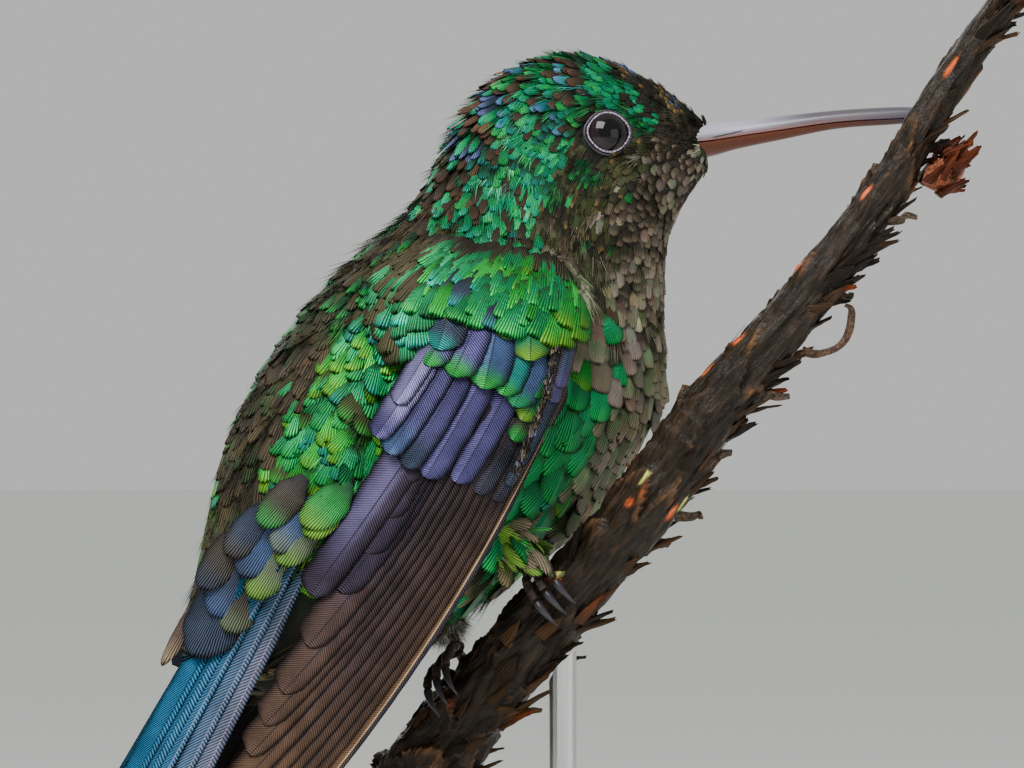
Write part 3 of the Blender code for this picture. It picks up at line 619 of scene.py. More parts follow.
class Signal:
    """A socket of a material's nodes; arithmetic on it adds Math nodes."""

    def __init__(self, finish, socket):
        self.finish, self.socket = finish, socket

    __add__ = __radd__ = arithmetic("ADD")
    __sub__ = arithmetic("SUBTRACT")
    __rsub__ = arithmetic("SUBTRACT", swapped=True)
    __mul__ = __rmul__ = arithmetic("MULTIPLY")
    __truediv__ = arithmetic("DIVIDE")
    __abs__ = arithmetic("ABSOLUTE")
    sine = arithmetic("SINE")

    def output(self, name):
        """Another output of the same node."""
        return Signal(self.finish, self.socket.node.outputs[name])

    def between(self, low, high):
        """0 below low, 1 above high, and a smooth step from one to the other."""
        settings = {"interpolation_type": "SMOOTHSTEP"}
        return self.finish.node("ShaderNodeMapRange", settings, {0: self, 1: low, 2: high})


class Finish:
    """A material made of nodes round one Principled shader."""

    def __init__(self, name, **constants):
        self.material = bpy.data.materials.new(name)
        self.material.use_nodes = True
        self.tree = self.material.node_tree
        self.shader = self.tree.nodes["Principled BSDF"]
        for key, value in constants.items():
            self.set(key.replace("_", " "), value)

    def node(self, kind, settings=None, inputs=None, output=0):
        made = self.tree.nodes.new(kind)
        for key, value in (settings or {}).items():
            setattr(made, key, value)
        for key, value in (inputs or {}).items():
            self.feed(made.inputs[key], value)
        return Signal(self, made.outputs[output])

    def feed(self, socket, value):
        if isinstance(value, Signal):
            self.tree.links.new(value.socket, socket)
        elif value is not None:
            if socket.type == "RGBA" and len(value) == 3:
                value = (*value, 1.0)
            socket.default_value = value

    def set(self, name, value):
        self.feed(self.shader.inputs[name], value)

    def mix(self, share, one, two, way="MIX"):
        settings = {"data_type": "RGBA", "blend_type": way}
        return self.node("ShaderNodeMix", settings, {0: share, 6: one, 7: two}, output=2)

    def dim(self, colour, factor):
        """The colour with its brightness multiplied by a signal."""
        grey = self.node("ShaderNodeCombineColor", None, {0: factor, 1: factor, 2: factor})
        return self.mix(1.0, colour, grey, "MULTIPLY")

    def axes(self):
        """The X, Y and Z of Object coordinates, in millimetres."""
        spot = self.node("ShaderNodeTexCoord", output="Object")
        split = self.node("ShaderNodeSeparateXYZ", None, {0: spot})
        return [split.output(name) * 1000.0 for name in "XYZ"]

    def noise(self, scale, detail=3.0, roughness=0.5, stretch=None, spot=None):
        """Noise on Object coordinates, or on another vector, with that many waves per metre."""
        spot = spot or self.node("ShaderNodeTexCoord", output="Object")
        if stretch:
            spot = self.node("ShaderNodeMapping", None, {"Vector": spot, "Scale": stretch})
        inputs = {"Vector": spot, "Scale": scale, "Detail": detail, "Roughness": roughness}
        return self.node("ShaderNodeTexNoise", None, inputs)

    def uv(self, name):
        split = self.node("ShaderNodeSeparateXYZ", None, {0: self.node("ShaderNodeUVMap", {"uv_map": name})})
        return split.output("X"), split.output("Y")

    def tint(self, name):
        """The colour of a colour attribute, and its alpha."""
        found = self.node("ShaderNodeVertexColor", {"layer_name": name})
        return found, found.output("Alpha")

    def dress(self, colour, roughness=None, relief=None, depth=0.0):
        """Feeds the shader, with relief as a bump that is depth metres high."""
        self.set("Base Color", colour)
        self.set("Roughness", roughness)
        if relief:
            self.bump(relief, depth)
        return self.material

    def bump(self, height, distance, strength=1.0):
        inputs = {"Height": height, "Distance": distance, "Strength": strength}
        self.set("Normal", self.node("ShaderNodeBump", None, inputs))


def plumage_finish(name, plumage):
    """Feather vanes: barbs with painted shade in the gaps between them, which widens toward the vane's edge,
    where more painted shade darkens the vane as under the overlapping feathers.
    """
    setting, part, gap, rim, ridge, ridge_share, sheen, roughness = COATS[name]
    pitch = getattr(plumage, setting) / MM * part
    finish = Finish(name, Specular_IOR_Level=0.06)
    colour, shine = finish.tint("Plumage")
    edge, along = finish.uv("Vane")
    wander = finish.noise(1300.0, 2.0)
    barb = (along * (math.tau / pitch) + wander * 2.6).sine() * 0.5 + 0.5
    mottle = finish.noise(480.0, 3.0)
    outer = edge * edge * edge
    lit = finish.mix(barb.between(0.45, 0.95) * ridge_share, colour, ridge)
    lit = finish.dim(lit, mottle * 1.2 + 0.45)
    # Painted shade: dark gaps between the barbs, darker toward the vane's edge, and the edge itself darkened
    # as if shaded by the next feathers.
    shade = 1.0 - (1.0 - barb) * (outer * (1.0 - gap) + gap)
    finish.set("Base Color", finish.dim(lit, shade * (1.0 - outer * outer * rim)))
    finish.set("Metallic", shine * sheen)
    finish.set("Roughness", roughness - shine * 0.12 + (1.0 - barb) * 0.15)
    finish.bump(barb, 0.00006, 0.7)
    return finish.material


# ---------------------------------------------------------------- meshes


def vane_faces(rows, columns, flip=False):
    """Faces of a thin closed vane: a grid on top, and one face from edge to edge for each row below."""
    wide = columns + 1
    faces = []
    for i in range(rows):
        a, b = i * wide, (i + 1) * wide
        for j in range(columns):
            faces.append((a + j, a + j + 1, b + j + 1, b + j))
        faces.append((a, b, b + columns, a + columns))
    faces.append(tuple(reversed(range(wide))))
    faces.append(tuple(rows * wide + j for j in range(wide)))
    if flip:
        faces = [tuple(reversed(f)) for f in faces]
    return np.concatenate([np.array(f) for f in faces]), np.array([len(f) for f in faces])


def paint_points(mesh, name, colours):
    """Gives the mesh a colour attribute with one row of colours for each vertex."""
    layer = mesh.color_attributes.new(name, "FLOAT_COLOR", "POINT")
    layer.data.foreach_set("color", colours.astype(np.float32).ravel())


class Pile:
    """Points, faces and surface data of many vanes that become one mesh."""

    def __init__(self):
        self.parts = []
        self.count = 0

    def add(self, points, faces, colours, vane, bake):
        """Adds copies of one shape: points (n, v, 3) in millimetres, faces for v points, data per point."""
        n, v = points.shape[:2]
        loops, sizes = faces
        start = self.count + np.arange(n)[:, None] * v
        self.parts.append(
            (
                points.reshape(-1, 3) * MM,
                (loops[None] + start).ravel(),
                np.tile(sizes, n),
                colours.reshape(-1, 4),
                vane.reshape(-1, 2),
                bake.reshape(-1, 2),
            )
        )
        self.count += n * v

    def make(self, name, material, slot, sharp=50.0):
        points, loops, sizes, colours, vane, bake = (np.concatenate(x) for x in zip(*self.parts))
        mesh = bpy.data.meshes.new(name)
        mesh.vertices.add(len(points))
        mesh.vertices.foreach_set("co", points.astype(np.float32).ravel())
        mesh.loops.add(len(loops))
        mesh.loops.foreach_set("vertex_index", loops.astype(np.int32))
        mesh.polygons.add(len(sizes))
        mesh.polygons.foreach_set("loop_start", np.concatenate(([0], np.cumsum(sizes)[:-1])).astype(np.int32))
        mesh.update(calc_edges=True)
        paint_points(mesh, "Plumage", colours)
        for layer, values in (("OFBake", bake), ("Vane", vane)):
            made = mesh.uv_layers.new(name=layer)
            made.data.foreach_set("uv", values[loops].astype(np.float32).ravel())
        mesh.shade_smooth()
        mesh.set_sharp_from_angle(angle=math.radians(sharp))
        mesh.materials.append(material)
        item = bpy.data.objects.new(name, mesh)
        bpy.context.scene.collection.objects.link(item)
        settle(item, slot)
        if item.data.validate():
            raise RuntimeError(f"{name} had faulty faces")
        return item


def settle(item, slot, *nodes):
    """Puts a finished piece on the bird's body and hides the nodes it replaces; the slot, what the piece
    stands for, is not used.
    """
    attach(item, "root")
    if nodes:
        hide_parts(*nodes)


def deselect():
    if bpy.context.object and bpy.context.object.mode != "OBJECT":
        bpy.ops.object.mode_set(mode="OBJECT")
    bpy.ops.object.select_all(action="DESELECT")


def pick(item):
    deselect()
    item.select_set(True)
    bpy.context.view_layer.objects.active = item


def apply_place(item):
    pick(item)
    bpy.ops.object.transform_apply(location=True, rotation=True, scale=True)


def coordinates(item):
    co = np.empty(len(item.data.vertices) * 3, np.float32)
    item.data.vertices.foreach_get("co", co)
    return co.reshape(-1, 3).astype(float)


def vertex_normals(item):
    normals = np.empty(len(item.data.vertices) * 3, np.float32)
    item.data.vertices.foreach_get("normal", normals)
    return normals.reshape(-1, 3)


def set_coordinates(item, co):
    item.data.vertices.foreach_set("co", co.astype(np.float32).ravel())
    item.data.update()


def drawn_ball(name, rings, sides, shape, material, slot, *nodes, angle=40.0):
    """A ball whose rings are drawn out along a path.

    shape(s, a) gives points in millimetres for the share s of the way and the angle a round it in radians.
    The poles go to the middle of the end rings.
    """
    deselect()
    bpy.ops.mesh.primitive_uv_sphere_add(segments=sides, ring_count=rings, radius=1.0, location=(0, 0, 0))
    item = bpy.context.object
    item.name = item.data.name = name
    ball = coordinates(item)
    turn = np.arctan2(ball[:, 1], ball[:, 0])
    share = np.arccos(np.clip(ball[:, 2], -1, 1)) / math.pi * rings
    pole = np.hypot(ball[:, 0], ball[:, 1]) < 1e-4
    share = np.clip((share - 1) / (rings - 2), 0.0, 1.0)
    points = shape(share, turn)
    for end in (0.0, 1.0):
        ring = shape(np.full(sides, end), np.arange(sides) * math.tau / sides)
        points[pole & (np.abs(share - end) < 0.5)] = ring.mean(0)
    set_coordinates(item, points * MM)
    bpy.ops.object.mode_set(mode="EDIT")
    bpy.ops.mesh.select_all(action="SELECT")
    bpy.ops.mesh.normals_make_consistent(inside=False)
    bpy.ops.object.mode_set(mode="OBJECT")
    bpy.ops.object.shade_smooth_by_angle(angle=math.radians(angle))
    item.data.materials.append(material)
    settle(item, slot, *nodes)
    return item


def along_path(path, radius):
    """A shape for drawn_ball: a round tube along points in millimetres, with a radius of (s, a)."""
    path = np.asarray(path, float)
    step = np.concatenate(([0.0], np.cumsum(np.linalg.norm(np.diff(path, axis=0), axis=1))))
    place = step / step[-1] * (len(path) - 1)
    way = unit(np.gradient(path, axis=0))
    side = np.empty_like(path)
    side[0] = unit(np.cross(way[0], (0.31, -0.9, 0.2)))
    for i in range(1, len(path)):
        side[i] = unit(side[i - 1] - way[i] * side[i - 1].dot(way[i]))

    def shape(s, a):
        t = np.interp(np.asarray(s) * (len(path) - 1), place, np.arange(len(path)))
        centre, w = rows_at(path, t), unit(rows_at(way, t))
        out = square_to(rows_at(side, t), w)
        across = np.cross(w, out)
        r = np.broadcast_to(radius(s, a), np.shape(s))[..., None]
        return centre + r * (np.cos(a)[..., None] * out + np.sin(a)[..., None] * across)

    return shape


# ---------------------------------------------------------------- feathers


ROWS = 10
SPIKES = 12
FEATHER_FACES = vane_faces(ROWS, 2)


def small_feather():
    """Across and height (half widths), along (lengths) and edge of a body feather with a round end."""
    s = 1 - (1 - np.linspace(0.0, 1.0, ROWS + 1)) ** 1.6
    round_off = np.clip((s - 0.5) / 0.5, 0, 1)
    reach = np.minimum(1.0, 0.28 + 2.2 * s) * np.sqrt(np.clip(1 - round_off**2.2, 0.003, 1))
    across = np.outer(reach, (-1.0, 0.0, 1.0))
    along = np.repeat(s[:, None], 3, 1)
    height = np.array((0.0, 0.20, 0.0)) - 0.14 * across**2
    edge = np.maximum(np.array((1.0, 0.0, 1.0)), ease(0.84, 1.0, along))
    return [x.ravel() for x in (across, along, height, edge)]


def spike_faces():
    """Faces of the thin closed spikes of one brush: three points at the root of each and one at its tip."""
    faces = []
    for a in range(0, 4 * SPIKES, 4):
        faces += [(a, a + 2, a + 1), (a, a + 1, a + 3), (a + 1, a + 2, a + 3), (a + 2, a, a + 3)]
    return np.array(faces).ravel(), np.full(len(faces), 3)


def spread(roots, normals, lies, x, y, z):
    """Points at x across, y along and z off the bed of each root."""
    side = np.cross(lies, normals)
    ways = (roots, side, lies, normals)
    root, side, lie, normal = (w[:, None] for w in ways)
    return root + x[..., None] * side + y[..., None] * lie + z[..., None] * normal


def sizes_of(count, length, width, lift, curl=0.0, loose=0.0, roll=0.0):
    """Sizes of feathers, a row for each: millimetres, degrees of lift, curl, looseness and roll."""
    sizes = {"length": length, "width": width, "lift": lift, "curl": curl, "loose": loose, "roll": roll}
    return {key: np.zeros(count) + value for key, value in sizes.items()}


def looks_of(main, rim, deep, shine=0.0, fringe=1.0):
    """Looks of feathers: the colours of vane, rim and root, the sheen and the share of the rim at the end.
    The root's colour is its own duller tone, darkened further as painted shade where other feathers cover it.
    """
    count = len(main)
    return {
        "main": main,
        "rim": rim,
        "deep": deep,
        "shine": np.full(count, shine),
        "fringe": np.full(count, fringe),
    }


def chosen(rows, *groups):
    """Those rows of each group of values."""
    return [{key: value[rows] for key, value in group.items()} for group in groups]


def lay_feathers(pile, roots, normals, lies, size, look, bake, rng):
    """Adds body feathers, with rows of sizes_of for size and of looks_of for look."""
    length, width, lift, curl, loose, roll = (
        size[k][:, None] for k in ("length", "width", "lift", "curl", "loose", "roll")
    )
    across, along, height, edge = small_feather()
    ragged = 1 - np.clip(0.03 + 0.4 * loose, 0, 1) * rng.random((len(roots), len(across))) ** 3
    x, y = across * ragged * width / 2, along * length * (1 - 0.25 * (1 - ragged))
    z = height * width / 2 + np.tan(np.radians(lift)) * y - curl * y * y + roll * x
    tip = (ease(0.50, 0.95, along) * look["fringe"][:, None])[..., None]
    # Toward the root the vane loses its sheen and darkens to the root colour: painted shade under the
    # feathers that cover it.
    shaded_matte_root = ease(0.34, 0.04, along)[..., None]
    main, rim, deep = (look[k][:, None] for k in ("main", "rim", "deep"))
    colour = blend(blend(main, rim, tip), deep, shaded_matte_root)
    shine = look["shine"][:, None] * (1 - shaded_matte_root[..., 0])
    fan = x / (0.35 + 0.65 * along)
    vane = np.stack((np.broadcast_to(edge, x.shape), fan), -1)
    patch = bake[:, None] + 0.0015 * np.stack((across, 2 * along - 1), -1)
    points = spread(roots, normals, lies, x, y, z)
    pile.add(points, FEATHER_FACES, np.concatenate((colour, shine[..., None]), -1), vane, patch)


def lay_brushes(pile, roots, normals, lies, size, look, bake, rng):
    """Adds loose tufts: fans of thin spikes from one root, every spike a little lighter or darker."""
    many = (len(roots), SPIKES)
    fan = np.linspace(-1.0, 1.0, SPIKES)
    length, width, lift = (size[k][:, None] for k in ("length", "width", "lift"))
    turn = np.radians(15.0) * (fan + rng.normal(0.0, 0.3, many))
    long = length * rng.uniform(0.6, 1.05, many)
    thin = rng.uniform(0.035, 0.065, many)
    start = width * 0.30 * (fan + rng.normal(0.0, 0.15, many))
    rise = np.tan(np.radians(lift + rng.normal(0.0, 4.0, many))) * long
    zero = np.zeros(many)
    x = np.stack((start - thin, start + thin, start, start + long * np.sin(turn)), -1).reshape(len(roots), -1)
    y = np.stack((zero, zero, zero, long * np.cos(turn)), -1).reshape(len(roots), -1)
    z = np.stack((zero + 0.10, zero + 0.10, 0.10 - 1.6 * thin, rise + 0.06), -1).reshape(len(roots), -1)
    points = spread(roots, normals, lies, x, y, z)
    value = np.exp(rng.normal(0.0, 0.38, many))[..., None, None]
    end = np.array((0.0, 0.0, 0.0, 1.0))[:, None]
    main, rim, deep = (look[k][:, None, None] for k in ("main", "rim", "deep"))
    share = 0.55 * rng.random(many)[..., None, None]
    # Each spike darkens toward its root: painted shade at the base of the tuft.
    colour = blend(blend(deep, main, 0.55), blend(main, rim, share), end) * value
    shine = np.broadcast_to(look["shine"][:, None, None, None] * 0.7, (*many, 4, 1))
    colour = np.concatenate((np.clip(colour, 0, 1), shine), -1).reshape(len(roots), -1, 4)
    vane = np.stack((np.zeros_like(x), 0 * y + rng.random(len(roots))[:, None]), -1)
    patch = bake[:, None] + 0.0015 * np.stack((np.clip(x / width, -1, 1), 2 * y / length - 1), -1)
    pile.add(points, spike_faces(), colour, vane, np.clip(patch, 0, 1))


def lay_vane(
    pile, surface, root, tip, rear, front, bow, look, strip, rows, columns=8, rise=(0.1, 0.1), tilt=0.12,
    thick=0.07, taper=0.0, seed=0,
):
    """Adds one long feather over a surface, with its root and tip on the surface's flat map.

    rear and front are the widths of the vane. look(s, c) gives the colours at share s of its length and c
    across, from -1 at the rear edge to 1 at the front. strip is its part of the piece's own UV map.
    """
    rng = np.random.default_rng(seed)
    root, tip = np.array(root, float), np.array(tip, float)
    ahead = unit(tip - root)
    lead = np.array((-ahead[1], ahead[0]))
    s = 1 - (1 - np.linspace(0.0, 1.0, rows + 1)) ** 1.7
    line = blend(root, tip, s[:, None]) + lead * (4 * s * (1 - s))[:, None] * bow
    way = unit(np.gradient(line, axis=0))
    out = np.stack((-way[:, 1], way[:, 0]), -1)
    c = np.linspace(-1.0, 1.0, columns + 1)
    c = np.sign(c) * np.abs(c) ** 1.25
    c[columns // 2 - 1], c[columns // 2 + 1] = -0.07, 0.07
    span = np.linalg.norm(tip - root)
    last = np.clip((1 - s) * span / min(1.25 * max(rear, front), span / 2), 0, 1)
    round_end = np.sqrt(np.clip(1 - (1 - last) ** 2, 0.0009, 1))
    swell = np.minimum(1.0, 0.35 + 3.0 * s) * round_end * (1 - taper * s**1.5)
    swell = swell * (1 + 0.02 * rng.normal(size=rows + 1) * (s > 0.1))
    angle = np.radians(blend(52.0, 34.0, s**3))
    barb = np.where(c < 0, rear, front)[None] * np.abs(c)[None] * swell[:, None]
    flat = (
        line[:, None]
        + (np.sign(c)[None] * barb * np.sin(angle)[:, None] * 1.27)[..., None] * out[:, None]
        + (barb * (last * np.cos(angle))[:, None])[..., None] * way[:, None]
    )
    distance = np.sign(c)[None] * barb
    lift = blend(*rise, s)[:, None] + tilt * distance
    ridge = np.where(np.abs(c) < 0.01, 0.05, 0.0)[None] * (1 - 0.6 * s)[:, None]
    height = lift + thick * (1 - np.abs(c) ** 2)[None] + ridge
    flat = flat.reshape(-1, 2)
    points = surface(flat, height.ravel())
    colour = look(np.repeat(s, columns + 1), np.tile(c, rows + 1))
    length = np.linalg.norm(np.diff(line, axis=0), axis=1).sum()
    # The edge of the vane, its tip included, where the plumage finish paints shade.
    rim = np.maximum(np.abs(c)[None], ease(0.32, 0.02, (1 - s) * span)[:, None]).ravel()
    vane = np.stack((rim, np.repeat(s, columns + 1) * length), -1)
    left, right = strip
    bake = np.stack(
        (blend(left, right, np.tile(c * 0.5 + 0.5, rows + 1)), np.repeat(s * 0.98 + 0.01, columns + 1)), -1
    )
    a = (rows // 2) * (columns + 1) + columns // 2
    outward = surface(flat[a : a + 1], height.ravel()[a : a + 1] + 0.5)[0] - points[a]
    top = np.cross(points[a + 1] - points[a], points[a + columns + 1] - points[a])
    pile.add(
        points[None], vane_faces(rows, columns, top.dot(outward) < 0), colour[None], vane[None], bake[None]
    )


def painter(main, rim, shaft, deep, shine, tip=None, front=None):
    """The look of a long feather: darker at the root, its own tone with painted shade where the feathers
    above cover it, a dark rim along both edges, partly the vane's own edge colour and partly painted shade
    where the feathers overlap, and a shaft.

    tip is another colour for its tip, and front one for its front half.
    """

    def look(s, c):
        colour = np.broadcast_to(main, (len(s), 3)).astype(float)
        on_shaft = np.abs(c) < 0.01
        if front is not None:
            colour = blend(colour, np.array(front), ease(-0.1, 0.5, c)[:, None])
        if tip is not None:
            colour = blend(colour, np.array(tip), ease(0.62, 0.92, s + 0.1 * np.abs(c))[:, None])
        # Painted shade: the dark rim on both edges, over the vane's own edge colour, and the darkening toward
        # the root.
        colour = blend(colour, np.array(rim), (np.abs(c) ** 6)[:, None] * 0.7)
        colour = blend(colour, np.array(deep), ease(0.35, 0.0, s)[:, None] * 0.7)
        colour = np.where(on_shaft[:, None], np.array(shaft), colour)
        gloss = np.where(on_shaft, 0.0, shine)
        return np.concatenate((colour, gloss[:, None]), 1)

    return look


def thin_out(points, gaps, rng):
    """Indices of points that keep at least their gap from the ones kept before them."""
    cell = float(gaps.max())
    keys = np.floor(points / cell).astype(int).tolist()
    spots, squares = points.tolist(), (gaps**2).tolist()
    around = [(x, y, z) for x in (-1, 0, 1) for y in (-1, 0, 1) for z in (-1, 0, 1)]
    grid, kept = {}, []
    for i in rng.permutation(len(points)).tolist():
        kx, ky, kz = keys[i]
        px, py, pz = spots[i]
        limit = squares[i]
        free = True
        for x, y, z in around:
            for qx, qy, qz in grid.get((kx + x, ky + y, kz + z), ()):
                if (px - qx) ** 2 + (py - qy) ** 2 + (pz - qz) ** 2 < limit:
                    free = False
                    break
            if not free:
                break
        if free:
            grid.setdefault((kx, ky, kz), []).append((px, py, pz))
            kept.append(i)
    return np.array(kept)


def tract_shares(t, angle):
    """How much each tract of feathers rules at places of the body, in the order of TRACTS."""
    rows = np.array([v[:4] for v in TRACTS.values()], float)
    off_t = (t[:, None] - rows[:, 0]) / rows[:, 2]
    off_a = (np.abs(angle)[:, None] - rows[:, 1]) / rows[:, 3]
    shares = np.exp(-(off_t**2) - off_a**2) + 1e-9
    return shares / shares.sum(1, keepdims=True)


def tract_sizes(t, angle):
    """Length, width, spacing, lift and looseness of the feathers at places of the body."""
    shares = tract_shares(t, angle) ** 1.5
    shares /= shares.sum(1, keepdims=True)
    return shares @ np.array([v[4:9] for v in TRACTS.values()], float)


def dyes_of(plumage):
    dyes = {name: np.array(colour) for name, colour in DYES.items()}
    for name in ("emerald", "green", "bronze", "violet", "tail_blue"):
        dyes[name] = np.array(getattr(plumage, name))
    return dyes


def drift(points, seed, wave):
    """A smooth random field over points, with about that wavelength in millimetres."""
    rng = np.random.default_rng(seed)
    total = np.zeros(len(points))
    for _ in range(10):
        way = unit(rng.normal(size=3)) * math.tau / (wave * rng.uniform(0.7, 1.6))
        total += np.sin(points @ way + rng.random() * math.tau)
    return total / 2.2


def along_edge(share):
    """Places along one edge of a UV map."""
    return np.stack((share, 0 * share), -1) * 0.98 + 0.01


def ranked(values):
    """The places of the values in their order, from 0 to 1."""
    return np.argsort(np.argsort(values)) / max(len(values), 1)


def tract_looks(points, t, angle, dyes, rng):
    """Main, rim and deep colours, sheen and fringe of a feather at each place."""
    shares = tract_shares(t, angle) ** 2.2
    shares /= shares.sum(1, keepdims=True)
    chance = ranked(drift(points, 1, 2.6) + rng.normal(0.0, 0.7, len(t)))
    tract = (chance[:, None] > np.cumsum(shares, 1)).sum(1).clip(0, len(TRACTS) - 1)
    patches = drift(points, 2, 3.0) + rng.normal(0.0, 0.45, len(t))
    main, rim = np.empty((len(t), 3)), np.empty((len(t), 3))
    shine = np.empty(len(t))
    for k, values in enumerate(TRACTS.values()):
        here = np.flatnonzero(tract == k)
        family = FAMILIES[values[9]]
        odds = np.cumsum([f[3] for f in family])
        pick_one = (ranked(patches[here])[:, None] * odds[-1] > odds[None]).sum(1)
        for i, (one, two, sheen, _) in enumerate(family):
            chosen = here[pick_one == i]
            main[chosen], rim[chosen], shine[chosen] = dyes[one], dyes[two], sheen
    value = np.exp(rng.normal(0.0, 0.25, len(t)) + 0.22 * drift(points, 3, 5.0))[:, None]
    warm = 1 + rng.normal(0.0, 0.10, (len(t), 3))
    # The root colour: a much darker copy of the main colour, painted shade for where the root lies covered.
    deep = main * 0.12 + np.array((0.006, 0.005, 0.004))
    return looks_of(np.clip(main * value * warm, 0, 1), np.clip(rim * value**0.5, 0, 1), deep, shine, 0.6)


def times(colour, factor):
    return tuple(channel * factor for channel in colour)


BODY_MAP = BodyMap()


def eye_axis(side):
    """The way an eye looks out of the head, and its centre, in millimetres."""
    low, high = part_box("eye_" + side)
    centre = np.array((low + high) / 2) / MM
    way = -1.0 if side == "right" else 1.0
    return unit(np.array((0.27, 0.95 * way, 0.17))), centre


# ---------------------------------------------------------------- operators


class HUMMINGBIRD_OT_skin(bpy.types.Operator):
    """Make one skin over the head, neck, trunk, rump and thighs of the frame"""

    bl_idname = "hummingbird.skin"
    bl_label = "Skin"

    def execute(self, context):
        depth = context.scene.hb_plumage.coat_depth
        deselect()
        copies = []
        for name in FLESH:
            item = bpy.data.objects.new("skin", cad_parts[name].data.copy())
            context.scene.collection.objects.link(item)
            item.data.materials.clear()
            copies.append(item)
        for side in SIDES:
            _, centre = eye_axis(side)
            low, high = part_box("eye_" + side)
            radius = (high.z - low.z) / 2 + depth * 0.62
            deselect()
            bpy.ops.mesh.primitive_uv_sphere_add(
                segments=32, ring_count=20, radius=radius, location=centre * MM
            )
            apply_place(context.object)
            copies.append(context.object)
        deselect()
        for item in copies:
            item.select_set(True)
        context.view_layer.objects.active = copies[0]
        bpy.ops.object.join()
        skin = context.object
        skin.name = skin.data.name = "skin"
        bpy.ops.object.mode_set(mode="EDIT")
        bpy.ops.mesh.select_all(action="SELECT")
        bpy.ops.mesh.remove_doubles(threshold=1e-6)
        bpy.ops.object.mode_set(mode="OBJECT")
        close = skin.modifiers.new("close", "REMESH")
        close.mode, close.voxel_size = "VOXEL", 0.42 * MM
        bpy.ops.object.modifier_apply(modifier=close.name)
        even = skin.modifiers.new("even", "SMOOTH")
        even.factor, even.iterations = 0.5, 5
        bpy.ops.object.modifier_apply(modifier=even.name)
        co = coordinates(skin) / MM
        t, angle = BODY_MAP.place(co)
        half = rows_at(BODY, t)[:, 4]
        outside = np.linalg.norm(co - body_point(t, angle), axis=1)
        thigh = (outside > 0.8) & (co[:, 2] < 42) & (
            np.linalg.norm(co - body_point(t, angle, 1.0), axis=1) < outside
        )
        pull = np.minimum(depth / MM, 0.16 * half + 0.05)
        pull = np.where(thigh, 0.3, pull)
        set_coordinates(skin, (co - vertex_normals(skin) * pull[:, None]) * MM)
        dyes = dyes_of(context.scene.hb_plumage)
        families = [FAMILIES[v[9]] for v in TRACTS.values()]
        mean = np.array([sum(dyes[f[0]] * f[3] for f in fam) / sum(f[3] for f in fam) for fam in families])
        # The skin takes the coat's colours at 30 %: painted shade for where it shows in the gaps between
        # feathers.
        tone = tract_shares(t, angle) @ mean * 0.30
        paint_points(skin.data, "Plumage", np.concatenate((tone, np.zeros((len(co), 1))), 1))
        finish = Finish("skin", Roughness=0.75, Specular_IOR_Level=0.2)
        colour, _ = finish.tint("Plumage")
        pores = finish.noise(3200.0, 2.0)
        skin.data.materials.clear()
        skin.data.materials.append(finish.dress(finish.dim(colour, pores * 0.8 + 0.5), None, pores, 0.00008))
        skin.data.shade_smooth()
        settle(skin, "plumage_green", *FLESH)
        return {"FINISHED"}


def skin_samples(skin, rng):
    """Random places on the skin, closer where the feathers are: points, normals, rows, angles and spacing."""
    mesh = skin.data
    mesh.calc_loop_triangles()
    corners = np.empty(len(mesh.loop_triangles) * 3, np.int32)
    mesh.loop_triangles.foreach_get("vertices", corners)
    corners = corners.reshape(-1, 3)
    co = coordinates(skin) / MM
    normals = vertex_normals(skin).astype(float)
    one, two, three = (co[corners[:, k]] for k in range(3))
    area = np.linalg.norm(np.cross(two - one, three - one), axis=1) / 2
    t, angle = BODY_MAP.place((one + two + three) / 3)
    spacing = tract_sizes(t, angle)[:, 2]
    weight = area / spacing**2
    picked = rng.choice(len(area), int(6.5 * weight.sum()), p=weight / weight.sum())
    r1, r2 = np.sqrt(rng.random(len(picked))), rng.random(len(picked))
    share = np.stack((1 - r1, r1 * (1 - r2), r1 * r2), -1)[..., None]
    points = (share * co[corners[picked]]).sum(1)
    out = unit((share * normals[corners[picked]]).sum(1))
    t, angle = BODY_MAP.place(points)
    return points, out, t, angle, tract_sizes(t, angle)[:, 2]


def tree_of(*names):
    """A search tree over pieces and CAD nodes, in millimetres."""
    points, faces = [], []
    for name in names:
        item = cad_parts.get(name) or bpy.data.objects[name]
        mesh = item.data
        start = len(points)
        points += [v.co / MM for v in mesh.vertices]
        faces += [[start + i for i in p.vertices] for p in mesh.polygons]
    return BVHTree.FromPolygons(points, faces)


